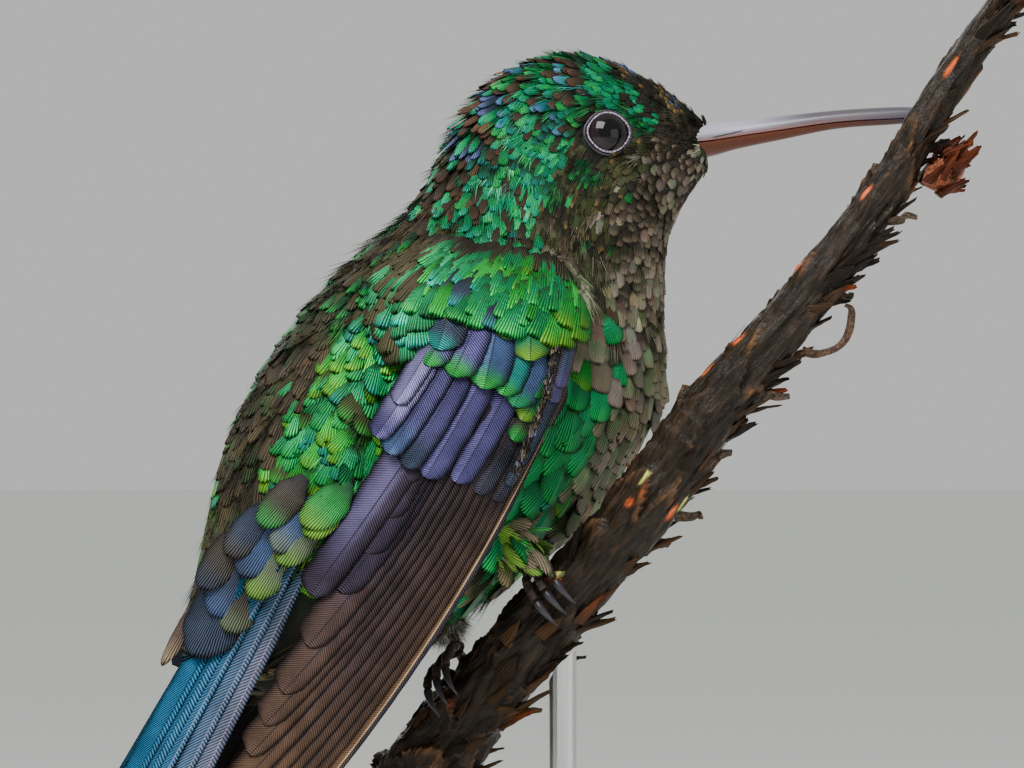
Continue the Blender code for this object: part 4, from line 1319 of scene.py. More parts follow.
class HUMMINGBIRD_OT_body_feathers(bpy.types.Operator):
    """Lay the small feathers of the head, neck, back, breast, belly and rump over the skin"""

    bl_idname = "hummingbird.body_feathers"
    bl_label = "Body feathers"

    def execute(self, context):
        plumage = context.scene.hb_plumage
        rng = np.random.default_rng(11)
        skin = bpy.data.objects["skin"]
        points, normals, t, angle, spacing = skin_samples(skin, rng)
        fine = np.flatnonzero(spacing < 0.62)
        broad = np.flatnonzero(spacing >= 0.62)
        kept = np.concatenate([part[thin_out(points[part], spacing[part], rng)] for part in (fine, broad)])
        points, normals, t, angle = points[kept], normals[kept], t[kept], angle[kept]
        keep = self.clear_of_parts(points, normals, t)
        points, normals, t, angle = points[keep], normals[keep], t[keep], angle[keep]
        sizes = tract_sizes(t, angle)
        looks = tract_looks(points, t, angle, dyes_of(plumage), rng)
        lies = BODY_MAP.lie(t, angle)
        turn = np.radians(rng.normal(0.0, 9.0, len(t)))[:, None]
        lies = square_to(lies, normals)
        lies = np.cos(turn) * lies + np.sin(turn) * np.cross(normals, lies)
        grow = plumage.feather_size * (1 + rng.normal(0.0, 0.08, len(t)))
        half = np.maximum(rows_at(BODY, t)[:, 4], 2.5)
        size = sizes_of(
            len(t),
            length=sizes[:, 0] * grow,
            width=sizes[:, 1] * grow * (1 + rng.normal(0.0, 0.06, len(t))),
            lift=sizes[:, 3] + rng.normal(0.0, 1.5, len(t)),
            curl=0.55 / half,
            loose=np.clip(sizes[:, 4] + rng.normal(0.0, 0.12, len(t)), 0.0, 1.0),
            roll=rng.normal(0.0, 0.08, len(t)),
        )
        body, face = (plumage_finish(f"{place}_plumage", plumage) for place in ("body", "face"))
        pieces = {
            "coat_head_right": (t < 6.0) & (angle >= 0),
            "coat_head_left": (t < 6.0) & (angle < 0),
            "coat_neck": (t >= 6.0) & (t < 9.0),
            "coat_trunk": (t >= 9.0) & (t < 13.0),
            "coat_rump": t >= 13.0,
        }
        for name, mask in pieces.items():
            at = np.flatnonzero(mask)
            bake = np.stack([(v[at] - v[at].min()) / (v[at].max() - v[at].min()) for v in (angle, t)], -1)
            bake = bake * 0.99 + 0.005
            pile = Pile()
            hairy = rng.random(len(at)) < sizes[at, 4]
            for mine, lay in ((~hairy, lay_feathers), (hairy, lay_brushes)):
                part = at[mine]
                lay(
                    pile, points[part], normals[part], lies[part], *chosen(part, size, looks), bake[mine], rng
                )
            pile.make(name, face if "head" in name or "neck" in name else body, "plumage_green")
        return {"FINISHED"}

    def clear_of_parts(self, points, normals, t):
        """Which roots are clear of the wings, the tail, the perch, the bill and the rings of the eyes."""
        solid = tree_of("perch")
        x, y, z = points.T
        keep = t > 0.04
        notch = np.where(z > MOUTH_Z, 1.6, 0.9) * np.abs(z - MOUTH_Z)
        keep &= ~((x > 17.9 + 0.6 * notch) & (np.abs(y - HEAD_Y) > 0.9))
        on_vent = (x < -22.4) & (z < 31.5)
        keep &= ~on_vent
        way = unit(TAIL_TIP - TAIL_ROOT)
        far = points - TAIL_ROOT
        beside = np.cross(far, way)[:, 1]
        under_tail = (far @ way > 1.5) & (normals[:, 1] < 0.2) & (beside > -3.5) & (beside < 4.2)
        keep &= ~under_tail
        for side in SIDES:
            axis, centre = eye_axis(side)
            off = points - centre
            along = off @ axis
            ring = np.linalg.norm(off - along[:, None] * axis, axis=1)
            keep &= ~((ring < LID_REACH) & (along > 0) & (along < 4))
        for i in np.flatnonzero(keep):
            if solid.ray_cast(Vector(points[i] + normals[i] * 0.05), Vector(normals[i]), 1.2)[0] is not None:
                keep[i] = False
        for side in SIDES:
            wing = tree_of(*WING_NODES[side])
            struck, spots = [], []
            for i in np.flatnonzero(keep):
                hit = wing.ray_cast(Vector(points[i] + normals[i] * 0.05), Vector(normals[i]), 6.0)[0]
                if hit is not None:
                    struck.append(i)
                    spots.append(hit)
            spots = np.array(spots)
            if side == "left":
                spots = mirrored(spots)
            chord = wing_place(spots[:, ::2])[1]
            keep[np.array(struck)[chord < 0.80]] = False
        return np.flatnonzero(keep)


class HUMMINGBIRD_OT_wings(bpy.types.Operator):
    """Lay the flight feathers, the coverts and the small shoulder feathers of both folded wings"""

    bl_idname = "hummingbird.wings"
    bl_label = "Wings"

    def execute(self, context):
        plumage = context.scene.hb_plumage
        dyes = dyes_of(plumage)
        flight = plumage_finish("flight_plumage", plumage)
        covert = plumage_finish("covert_plumage", plumage)
        small = plumage_finish("shoulder_plumage", plumage)
        for side, surface in (("right", on_right_wing), ("left", on_left_wing)):
            long_ones = self.flight_feathers(surface, dyes).make(
                f"flight_feathers_{side}", flight, "wing_dark"
            )
            short_ones = self.coverts(surface, dyes).make(f"coverts_{side}", covert, "wing_dark")
            self.shoulder(side, dyes).make(f"shoulder_{side}", small, "plumage_green")
            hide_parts(*WING_NODES[side][1:])
            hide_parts(WING_NODES[side][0])
        return {"FINISHED"}

    def flight_feathers(self, surface, dyes):
        pile = Pile()
        count = len(FLIGHT)
        for k, (tip_x, tip_z, root_x, root_z, rear, front, bow) in enumerate(FLIGHT):
            share = k / (count - 1)
            if k < SECONDARIES:
                main = dyes["lilac"] * 0.5 if k == SECONDARIES - 1 else dyes["violet"] * (0.62 - 0.08 * k)
                ahead = dyes["dusky"]
                tip = dyes["dusky"] * 1.2
            else:
                main = blend(blend(dyes["dusky"], dyes["violet"], 0.25) * 1.3, dyes["brown_wing"], share**1.4)
                ahead = blend(dyes["dusky"], dyes["brown_wing"] * 0.7, share)
                tip = blend(dyes["dusky"], dyes["brown_wing"] * 1.3, min(1.0, share * 1.5))
            last = k == count - 1
            if last:
                main, ahead = dyes["tan"] * 0.45, dyes["slate"] * 0.7
            shaft = dyes["buff"] * 1.8 if last else dyes["navy"]
            rim = dyes["rust"] if last else dyes["navy"] * 0.8
            look = painter(main, rim, shaft, dyes["navy"], 0.5 - 0.35 * share, tip, ahead)
            strip = ((k + 0.06) / count, (k + 0.94) / count)
            lay_vane(
                pile, surface, (root_x, root_z), (tip_x, tip_z), rear, front, bow, look, strip,
                rows=60, rise=(0.32, 0.34), tilt=0.16, thick=0.10, seed=40 + k,
            )
        return pile

    def coverts(self, surface, dyes):
        """The larger coverts, the alula, and the pale marginal feathers along the leading edge."""
        pile = Pile()
        rng = np.random.default_rng(5)
        beds = []
        for tip_x, tip_z, root_x, root_z, rear, front, height, base, tip in COVERTS:
            glow = 0.15 if base == "navy" else 0.75
            look = painter(
                dyes[base] * rng.uniform(0.85, 1.15),
                *(dyes["navy"],) * 3,
                glow,
                dyes[tip],
            )
            beds.append(
                ((root_x, root_z), (tip_x, tip_z), rear, front, look, 26, 6, (height - 0.40, height), 0.10)
            )
        tip_x, tip_z, root_x, root_z, rear, front = ALULA
        for k in range(2):
            look = painter(
                dyes["slate"] * 1.4, dyes["tan"] * 0.6, dyes["navy"], dyes["navy"], 0.4, dyes["violet"] * 0.8
            )
            ends = ((root_x - 0.5 * k, root_z - 0.8 * k), (tip_x - 0.5 * k, tip_z - 1.2 * k))
            beds.append((*ends, rear, front, look, 26, 6, (0.95 - 0.12 * k, 1.25 - 0.12 * k), 0.05))
        tan = painter(dyes["tan"], dyes["umber"], dyes["tan"] * 1.2, dyes["umber"], 0.0)
        dark = painter(dyes["slate"], dyes["navy"], dyes["umber"], dyes["navy"], 0.3)
        beds += [
            ((7.9, 55.2), (2.6, 42.6), 0.70, 0.60, dark, 40, 4, (0.80, 0.60), 0.1),
            ((8.5, 55.6), (2.9, 42.6), 0.12, 0.14, tan, 60, 2, (1.15, 0.9), 0.2),
        ]
        total = len(beds)
        side = int(math.ceil(math.sqrt(total)))
        for k, (root, tip, rear, front, look, rows, columns, rise, tilt) in enumerate(beds):
            left = (k % side + 0.05) / side
            before = len(pile.parts)
            bow = 1.0 if rows > 50 and columns == 2 else 0.5 if rows >= 40 else 0.12
            lay_vane(
                pile, surface, root, tip, rear, front, bow, look, (left, left + 0.9 / side),
                rows=rows, columns=columns, rise=rise, tilt=tilt, thick=0.12, seed=200 + k,
            )
            patch = pile.parts[before][5]
            patch[:, 1] = (k // side + 0.05 + 0.9 * patch[:, 1]) / side
        return pile

    def shoulder(self, side, dyes):
        """Small feathers over the front of the wing, broad and green toward the coverts."""
        rng = np.random.default_rng(8)
        u, v = rng.uniform(-0.15, 3.0, 9000), rng.uniform(-0.02, 1.12, 9000)
        keep = v > 0.14 * ease(2.0, 3.0, u) + 0.10 * ease(1.4, 2.2, u)
        keep &= v < 1.12 - 0.22 * ease(1.6, 2.6, u)
        keep &= u < 1.45 + 0.20 * ease(0.3, 0.0, v) + 0.9 * ease(0.80, 0.90, v)
        u, v = u[keep], v[keep]
        down = ease(0.1, 1.6, u)
        bed = blend(0.35, 1.02, ease(-0.1, 1.4, u)) - 0.55 * ease(0.75, 1.1, v)
        roots = wing_point(u, v, bed)
        gaps = blend(0.58, 1.02, down) * (1 - 0.25 * ease(0.75, 1.0, v))
        kept = thin_out(roots, gaps, rng)
        u, v, roots, down = u[kept], v[kept], roots[kept], down[kept]
        by_u = wing_point(u + 0.05, v, 0.0) - wing_point(u - 0.05, v, 0.0)
        by_v = wing_point(u, v + 0.02, 0.0) - wing_point(u, v - 0.02, 0.0)
        normals = unit(np.cross(by_v, by_u))
        normals *= np.sign(-normals[:, 1])[:, None]
        slant = 0.15 + 0.30 * (1 - down) + 0.1 * rng.normal(size=len(u))
        lies = unit(unit(by_u) + slant[:, None] * unit(by_v))
        lies = square_to(lies, normals)
        if side == "left":
            roots, normals, lies = mirrored(roots), mirrored(normals, ways=True), mirrored(lies, ways=True)
        patches = drift(roots, 6, 3.4) + rng.normal(0.0, 0.4, len(u))
        order = ranked(patches)
        main, rim = np.tile(dyes["emerald"], (len(u), 1)), np.tile(dyes["green"], (len(u), 1))
        shine = np.full(len(u), 0.9)
        bands = (
            (order > 0.62, "green", "green", 0.9),
            (order > 0.82, "green", "lime", 0.9),
            (order < 0.20, "emerald", "teal", 0.9),
            (order < 0.07, "slate", "teal", 0.6),
            (v + 0.10 * patches > 0.86, "emerald", "pine", 0.5),
            (v + 0.10 * patches > 0.94, "bronze", "olive", 0.2),
            (u + 0.15 * patches < 0.10, "umber", "olive", 0.1),
        )
        for mask, one, two, gloss in bands:
            main[mask], rim[mask], shine[mask] = dyes[one], dyes[two], gloss
        value = np.exp(rng.normal(0.0, 0.22, len(u)))[:, None]
        size = sizes_of(
            len(u),
            length=blend(2.4, 3.7, down) * (1 + rng.normal(0.0, 0.07, len(u))),
            width=blend(1.9, 3.6, down) * (1 + rng.normal(0.0, 0.07, len(u))),
            lift=rng.normal(7.0, 1.5, len(u)),
            curl=0.028,
            loose=0.1,
            roll=rng.normal(0.0, 0.06, len(u)),
        )
        look = looks_of(np.clip(main * value, 0, 1), rim * value, main * 0.12 + 0.005, shine, 0.7)
        bake = np.stack((np.clip(v, 0, 1) * 0.98 + 0.005, np.clip(u / 3.1, 0, 1) * 0.98 + 0.005), -1)
        pile = Pile()
        lay_feathers(pile, roots, normals, lies, size, look, bake, rng)
        self.front_line(pile, side, dyes, rng)
        self.mottled_line(pile, side, dyes, rng)
        return pile

    def on_line(self, side, share, stations, xs, zs, height, jitter, rng):
        """Roots and normals along a line over the wing, given by X and Z at its stations."""
        flat = np.stack([np.interp(share, stations, x) for x in (xs, zs)], -1)
        flat += rng.normal(0.0, 1.0, flat.shape) * np.asarray(jitter)[:, None]
        surface = on_right_wing if side == "right" else on_left_wing
        roots = surface(flat, np.full(len(flat), height))
        normals = unit(surface(flat, np.full(len(flat), height + 1.0)) - roots)
        way = unit(surface(flat + (0.0, -0.5), np.full(len(flat), height)) - roots)
        return roots, normals, way

    def front_line(self, pile, side, dyes, rng):
        """Pale wispy feathers along the front of the wing, down to a tuft at its bend."""
        count = 60
        share = np.sort(rng.random(count))
        roots, normals, way = self.on_line(
            side, share, (0, 0.4, 0.65, 1.0), (6.0, 7.8, 8.6, 9.0), (62.0, 60.2, 58.5, 56.9), 1.1,
            0.08 + 0.3 * share**3, rng,
        )
        tree = tree_of("skin")
        for i, root in enumerate(roots):
            spot, facing, _, gap = tree.find_nearest(root)
            if gap > 1.2 and share[i] < 0.55:
                roots[i], normals[i] = spot + facing * 0.9, facing
        ahead = np.cross(normals, way) * (1.0 if side == "right" else -1.0)
        slant = np.interp(share, (0, 0.6, 1), (0.9, 0.5, -0.2))[:, None]
        lies = unit(way + ahead * slant + rng.normal(0, 0.10, (count, 3)))
        lies = square_to(lies, normals)
        pale = np.where(rng.random((count, 1)) < 0.5, dyes["sage"], dyes["taupe"])
        size = sizes_of(count, 1.3 + 0.9 * share, 0.4, rng.normal(5, 3, count))
        look = looks_of(pale, pale * 1.3, pale * 0.3)
        lay_brushes(pile, roots, normals, lies, size, look, along_edge(share), rng)

    def mottled_line(self, pile, side, dyes, rng):
        """Short mottled feathers on the edge of the hand, between the alula and the coverts."""
        count = 190
        share = np.sort(rng.random(count))
        roots, normals, way = self.on_line(
            side, share, (0, 0.5, 0.88, 1.0), (6.5, 5.36, 3.76, 3.3), (54.0, 49.3, 45.3, 44.0), 1.35,
            np.full(count, 0.12), rng,
        )
        tones = np.array([dyes[n] for n in ("fringe", "bead", "lilac", "umber", "grey_brown", "dusky")])
        main = tones[rng.integers(0, len(tones), count)] * rng.uniform(0.12, 0.62, (count, 1))
        size = sizes_of(
            count,
            length=rng.uniform(0.45, 0.8, count),
            width=rng.uniform(0.25, 0.45, count),
            lift=rng.normal(14.0, 4.0, count),
            loose=0.6,
            roll=rng.normal(0.0, 0.3, count),
        )
        lay_feathers(
            pile, roots, normals, way, size, looks_of(main, main, main * 0.3), along_edge(share), rng
        )


class HUMMINGBIRD_OT_tail(bpy.types.Operator):
    """Lay the ten tail feathers and the broad coverts over their roots"""

    bl_idname = "hummingbird.tail"
    bl_label = "Tail"

    def execute(self, context):
        plumage = context.scene.hb_plumage
        dyes = dyes_of(plumage)
        tree = tree_of("skin")
        self.tail_feathers(plumage, dyes, tree)
        self.coverts(plumage, dyes, tree)
        return {"FINISHED"}

    def bed(self, tree, way):
        """A smooth bed over the rump and the tail, seen along Y: its Y at any X and Z.

        way is -1 for the right side of the bird and 1 for the left.
        """
        xs, zs = np.arange(-34.0, -4.0, 0.5), np.arange(4.0, 52.0, 0.5)
        x, z = np.meshgrid(xs, zs, indexing="ij")
        root, across = on_tail(np.array(((0.0, 0.0), (1.0, 0.0))), np.full(2, 0.2))
        along = unit(TAIL_TIP - TAIL_ROOT)
        far = (np.stack((x, 0 * x, z), -1) - root) @ unit(along * (1, 0, 1)) / np.linalg.norm(along[::2])
        slope = (across - root)[1] / (across - root)[0]
        y = root[1] + far * along[1] + slope * (x - root[0] - far * along[0])
        beside = (x - root[0] - far * along[0]) / (across - root)[0]
        y = np.where((far > -2.0) & (np.abs(beside) < 6.5), y, -99.0 * way)
        for i in range(len(xs)):
            for j in range(len(zs)):
                hit = tree.ray_cast(Vector((xs[i], 40.0 * way, zs[j])), Vector((0.0, -way, 0.0)))[0]
                if hit is not None:
                    y[i, j] = min(y[i, j], hit.y) if way < 0 else max(y[i, j], hit.y)
        front = np.minimum if way < 0 else np.maximum

        def shifted(step, axis):
            return np.roll(np.pad(y, 1, "edge"), step, axis)[1:-1, 1:-1]

        for _ in range(60):
            for step, axis in ((1, 0), (-1, 0), (1, 1), (-1, 1)):
                y = front(y, shifted(step, axis) - 0.22 * way)
        for _ in range(3):
            for axis in (0, 1):
                y = (shifted(1, axis) + y + shifted(-1, axis)) / 3

        def at(px, pz):
            i = np.clip((px - xs[0]) / 0.5, 0, len(xs) - 1.001)
            j = np.clip((pz - zs[0]) / 0.5, 0, len(zs) - 1.001)
            a, b = i.astype(int), j.astype(int)
            u, v = i - a, j - b
            return blend(blend(y[a, b], y[a + 1, b], u), blend(y[a, b + 1], y[a + 1, b + 1], u), v)

        return at

    def tail_feathers(self, plumage, dyes, tree):
        finish = plumage_finish("tail_plumage", plumage)
        bed = self.bed(tree, -1.0)

        def draped(flat, height):
            points = on_tail(flat, height)
            over = np.minimum(points[:, 1], bed(points[:, 0], points[:, 2]) - 0.60 - height)
            points[:, 1] = blend(points[:, 1], over, ease(28.0, 20.0, flat[:, 1]))
            return points

        pile = Pile()
        count = len(TAIL_VANES)
        for k, (root, root_y, tip, tip_y, left, right, height, tone, edge) in enumerate(TAIL_VANES):
            main = dyes["tail_blue"]
            if tone >= 0:
                blue = blend(dyes["tail_blue"], dyes["cyan"], 0.22)
                main = blend(blue, blend(dyes["lilac"], dyes["bead"], 0.5) * 0.7, tone)
            front = dyes["navy"] if k == 7 else main
            shaft = dyes[edge] if edge != "fringe" else blend(dyes["fringe"], dyes["lilac"], 0.4) * 1.8
            look = painter(main, dyes["navy"] * 2, shaft, dyes["navy"], 0.6, None, front)
            lay_vane(
                pile, draped, (root, root_y), (tip, tip_y), right, left, 0.0, look,
                ((k + 0.05) / count, (k + 0.95) / count), rows=60, rise=(height, height), tilt=-0.02,
                thick=0.05, seed=70 + k,
            )
        tail = pile.make("tail_feathers", finish, "tail_blue")
        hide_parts(*TAIL_NODES)

    def coverts(self, plumage, dyes, tree):
        """Broad coverts over the tail's root: slate and blue at the back, yellow green toward the wing."""
        rng = np.random.default_rng(29)
        finish = plumage_finish("tail_covert_plumage", plumage)
        table = np.array([row[:5] for row in TAIL_COVERTS])
        order = np.arange(len(table))
        count = len(table)
        main, rim = (np.array([dyes[row[k]] for row in TAIL_COVERTS]) for k in (5, 6))
        pile = Pile()
        for n, way in enumerate((-1.0, 1.0)):
            bed = self.bed(tree, way)
            short = 0.0 if way < 0 else 0.3
            rise = way * (0.35 + 0.05 * order)
            roots = np.stack((table[:, 2], bed(table[:, 2], table[:, 3]) + rise, table[:, 3]), -1)
            rise = way * (1.25 + 0.07 * order)
            ends = blend(table[:, :2], table[:, 2:4], short)
            tips = np.stack((ends[:, 0], bed(ends[:, 0], ends[:, 1]) + rise, ends[:, 1]), -1)
            lies = unit(tips - roots)
            beside = np.stack([bed(roots[:, 0] + 1.2 * k, roots[:, 2] + 0.6 * k) for k in (-1, 1)], -1)
            fall = 0.5 * (beside[:, 1] - beside[:, 0])
            across = unit(np.stack((2.4 + 0 * order, fall, 1.2 + 0 * order), -1))
            facing = np.cross(across, lies)
            facing *= np.sign(facing[:, 1:2]) * way
            normals = square_to(facing, lies)
            size = sizes_of(
                count, np.linalg.norm(tips - roots, axis=1), table[:, 4], 0.0, curl=-0.01, loose=0.10
            )
            look = looks_of(main, rim, main * 0.2, 0.4, 0.8)
            bake = np.stack(((order + 0.5) / count * 0.48 + 0.5 * n, np.full(count, 0.5)), -1)
            part = np.arange(0 if way < 0 else 3, count)
            group = chosen(part, size, look)
            lay_feathers(pile, roots[part], normals[part], lies[part], *group, bake[part], rng)
        pile.make("tail_coverts", finish, "plumage_bronze")


class HUMMINGBIRD_OT_eyes(bpy.types.Operator):
    """Make the eyes and the bare ring round each of them"""

    bl_idname = "hummingbird.eyes"
    bl_label = "Eyes"

    def execute(self, context):
        bare = context.scene.hb_bare
        for side in SIDES:
            axis, centre = eye_axis(side)
            low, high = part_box("eye_" + side)
            radius = (high.z - low.z) / 2
            deselect()
            bpy.ops.mesh.primitive_uv_sphere_add(
                segments=48, ring_count=32, radius=radius, location=centre * MM,
                rotation=Vector(axis).to_track_quat("Z", "Y").to_euler(),
            )
            eye = context.object
            eye.name = eye.data.name = "eyeball_" + side
            apply_place(eye)
            eye.data.shade_smooth()
            eye.data.materials.append(self.eye_finish(side, axis, centre, radius / MM, bare.iris))
            settle(eye, "eye_dark", "eye_" + side)
            ball = (axis, centre, radius / MM)
            reach, thick = bare.lid_radius, bare.lid_thickness
            self.ring("eyelid_" + side, *ball, reach, thick, 19, bare.lid)
            self.ring("orbit_" + side, *ball, reach * 1.11, thick * 1.5, 34, times(bare.lid, 0.10))
        return {"FINISHED"}

    def eye_finish(self, side, axis, centre, radius, iris):
        finish = Finish("eye_" + side, Roughness=0.05, Specular_IOR_Level=0.24)
        x, y, z = finish.axes()
        toward = ((x - centre[0]) * axis[0] + (y - centre[1]) * axis[1] + (z - centre[2]) * axis[2]) / radius
        grain = finish.noise(2600.0, 3.0)
        ring = finish.mix(grain, tuple(iris), times(iris, 2.4))
        pupil = toward.between(0.862, 0.878)
        white = toward.between(0.60, 0.52)
        ball = finish.mix(pupil, ring, (0.002, 0.002, 0.002))
        return finish.dress(finish.mix(white, ball, (0.02, 0.012, 0.01)))

    def ring(self, name, axis, centre, radius, reach, thick, beads, tone):
        """A beaded ring of bare skin that rests on the ball and draws to a point in front and behind."""
        out = math.sqrt(max(radius**2 - (reach / MM - 0.06) ** 2, 0.6))
        deselect()
        bpy.ops.mesh.primitive_torus_add(
            major_radius=reach, minor_radius=thick, major_segments=168, minor_segments=12, location=(0, 0, 0)
        )
        item = bpy.context.object
        item.name = item.data.name = name
        co = coordinates(item)
        turn = np.arctan2(co[:, 1], co[:, 0])
        middle = np.stack((np.cos(turn), np.sin(turn), np.zeros_like(turn)), -1) * reach
        bead = 0.75 + 0.45 * np.abs(np.sin(beads * turn))
        co = middle * (1 + 0.10 * np.cos(turn)[:, None] ** 8) + (co - middle) * bead[:, None]
        set_coordinates(item, co)
        item.rotation_euler = Vector(axis).to_track_quat("Z", "Y").to_euler()
        item.location = (centre + axis * out) * MM
        apply_place(item)
        item.data.shade_smooth()
        finish = Finish(name, Roughness=0.45)
        grain = finish.noise(5200.0, 2.0)
        skin = finish.mix(grain.between(0.40, 0.60), times(tone, 0.30), tuple(tone))
        item.data.materials.append(finish.dress(skin, None, grain, 0.00005))
        settle(item, "foot_brown")


class HUMMINGBIRD_OT_bill(bpy.types.Operator):
    """Draw the two halves of the bill"""

    bl_idname = "hummingbird.bill"
    bl_label = "Bill"

    def execute(self, context):
        bare = context.scene.hb_bare
        self.half("upper_bill", 1, self.upper_finish(bare), "bill_black", "bill_upper")
        self.half("lower_bill", -1, self.lower_finish(bare), "bill_red", "bill_lower")
        return {"FINISHED"}

    def half(self, name, way, material, slot, node):
        last = len(BILL) - 1.0
        top = 0.72  # the share of a turn that the curved side takes; the flat side has the rest

        def shape(s, a):
            x, z, high, wide, drop = np.moveaxis(rows_at(BILL, np.asarray(s) * last), -1, 0)
            cut = -drop + way * 0.05
            start = np.arcsin(np.clip(cut / high, -0.9, 0.9))
            f = (np.asarray(a) % math.tau) / math.tau
            sweep = np.where(way > 0, math.pi - 2 * start, -(math.pi + 2 * start))
            arc = start + sweep * np.clip(f / top, 0, 1)
            back = np.clip((f - top) / (1 - top), 0, 1)
            one = np.cos(start + sweep) * wide
            two = np.cos(start) * wide
            across = np.where(f < top, wide * np.cos(arc), blend(one, two, back))
            inside = np.sin(start) * high - way * 0.12 * high * np.sin(math.pi * back)
            up = np.where(f < top, high * np.sin(arc), inside)
            if way > 0:
                ridge = np.exp(-((across / (0.22 * wide)) ** 2)) * (f < top)
                up = up + 0.05 * high * ridge
            return np.stack((x, HEAD_Y + across, z + up), -1)

        drawn_ball(name, 72, 56, shape, material, slot, node, angle=50.0)

    def upper_finish(self, bare):
        finish = Finish("upper_bill", Coat_Weight=0.35, Coat_Roughness=0.15)
        x, _, z = finish.axes()
        streak = finish.noise(900.0, 3.0, stretch=(0.12, 1.0, 1.0))
        horn = finish.mix(streak, tuple(bare.culmen), times(bare.culmen, 3.0))
        # A pale lilac patch high on the upper bill near its base: a painted highlight, the reflection of the
        # overhead light.
        pale = x.between(27.5, 20.5) * (z - x * 0.15).between(67.55, 68.15)
        horn = finish.mix(pale * 0.85, horn, (0.36, 0.34, 0.42))
        low = (z - x * 0.155).between(67.75, 67.35) * x.between(34.0, 22.0)
        horn = finish.mix(low * 0.8, horn, (0.26, 0.10, 0.085))
        line = abs(z - (x * 0.235 + 66.02)).between(0.085, 0.03)
        line = line * x.between(18.8, 19.4) * x.between(21.9, 21.2)
        horn = finish.mix(line, horn, (0.012, 0.009, 0.010))
        return finish.dress(horn, streak * 0.2 + 0.24, streak - line, 0.00005)

    def lower_finish(self, bare):
        finish = Finish("lower_bill", Specular_IOR_Level=0.2, Coat_Weight=0.05, Coat_Roughness=0.25)
        x = finish.axes()[0]
        streak = finish.noise(900.0, 3.0, stretch=(0.12, 1.0, 1.0))
        red = finish.mix(streak, times(bare.coral, 0.72), tuple(bare.coral))
        red = finish.mix(x.between(29.0, 36.5), red, tuple(bare.culmen))
        return finish.dress(red, streak * 0.2 + 0.36, streak, 0.00004)


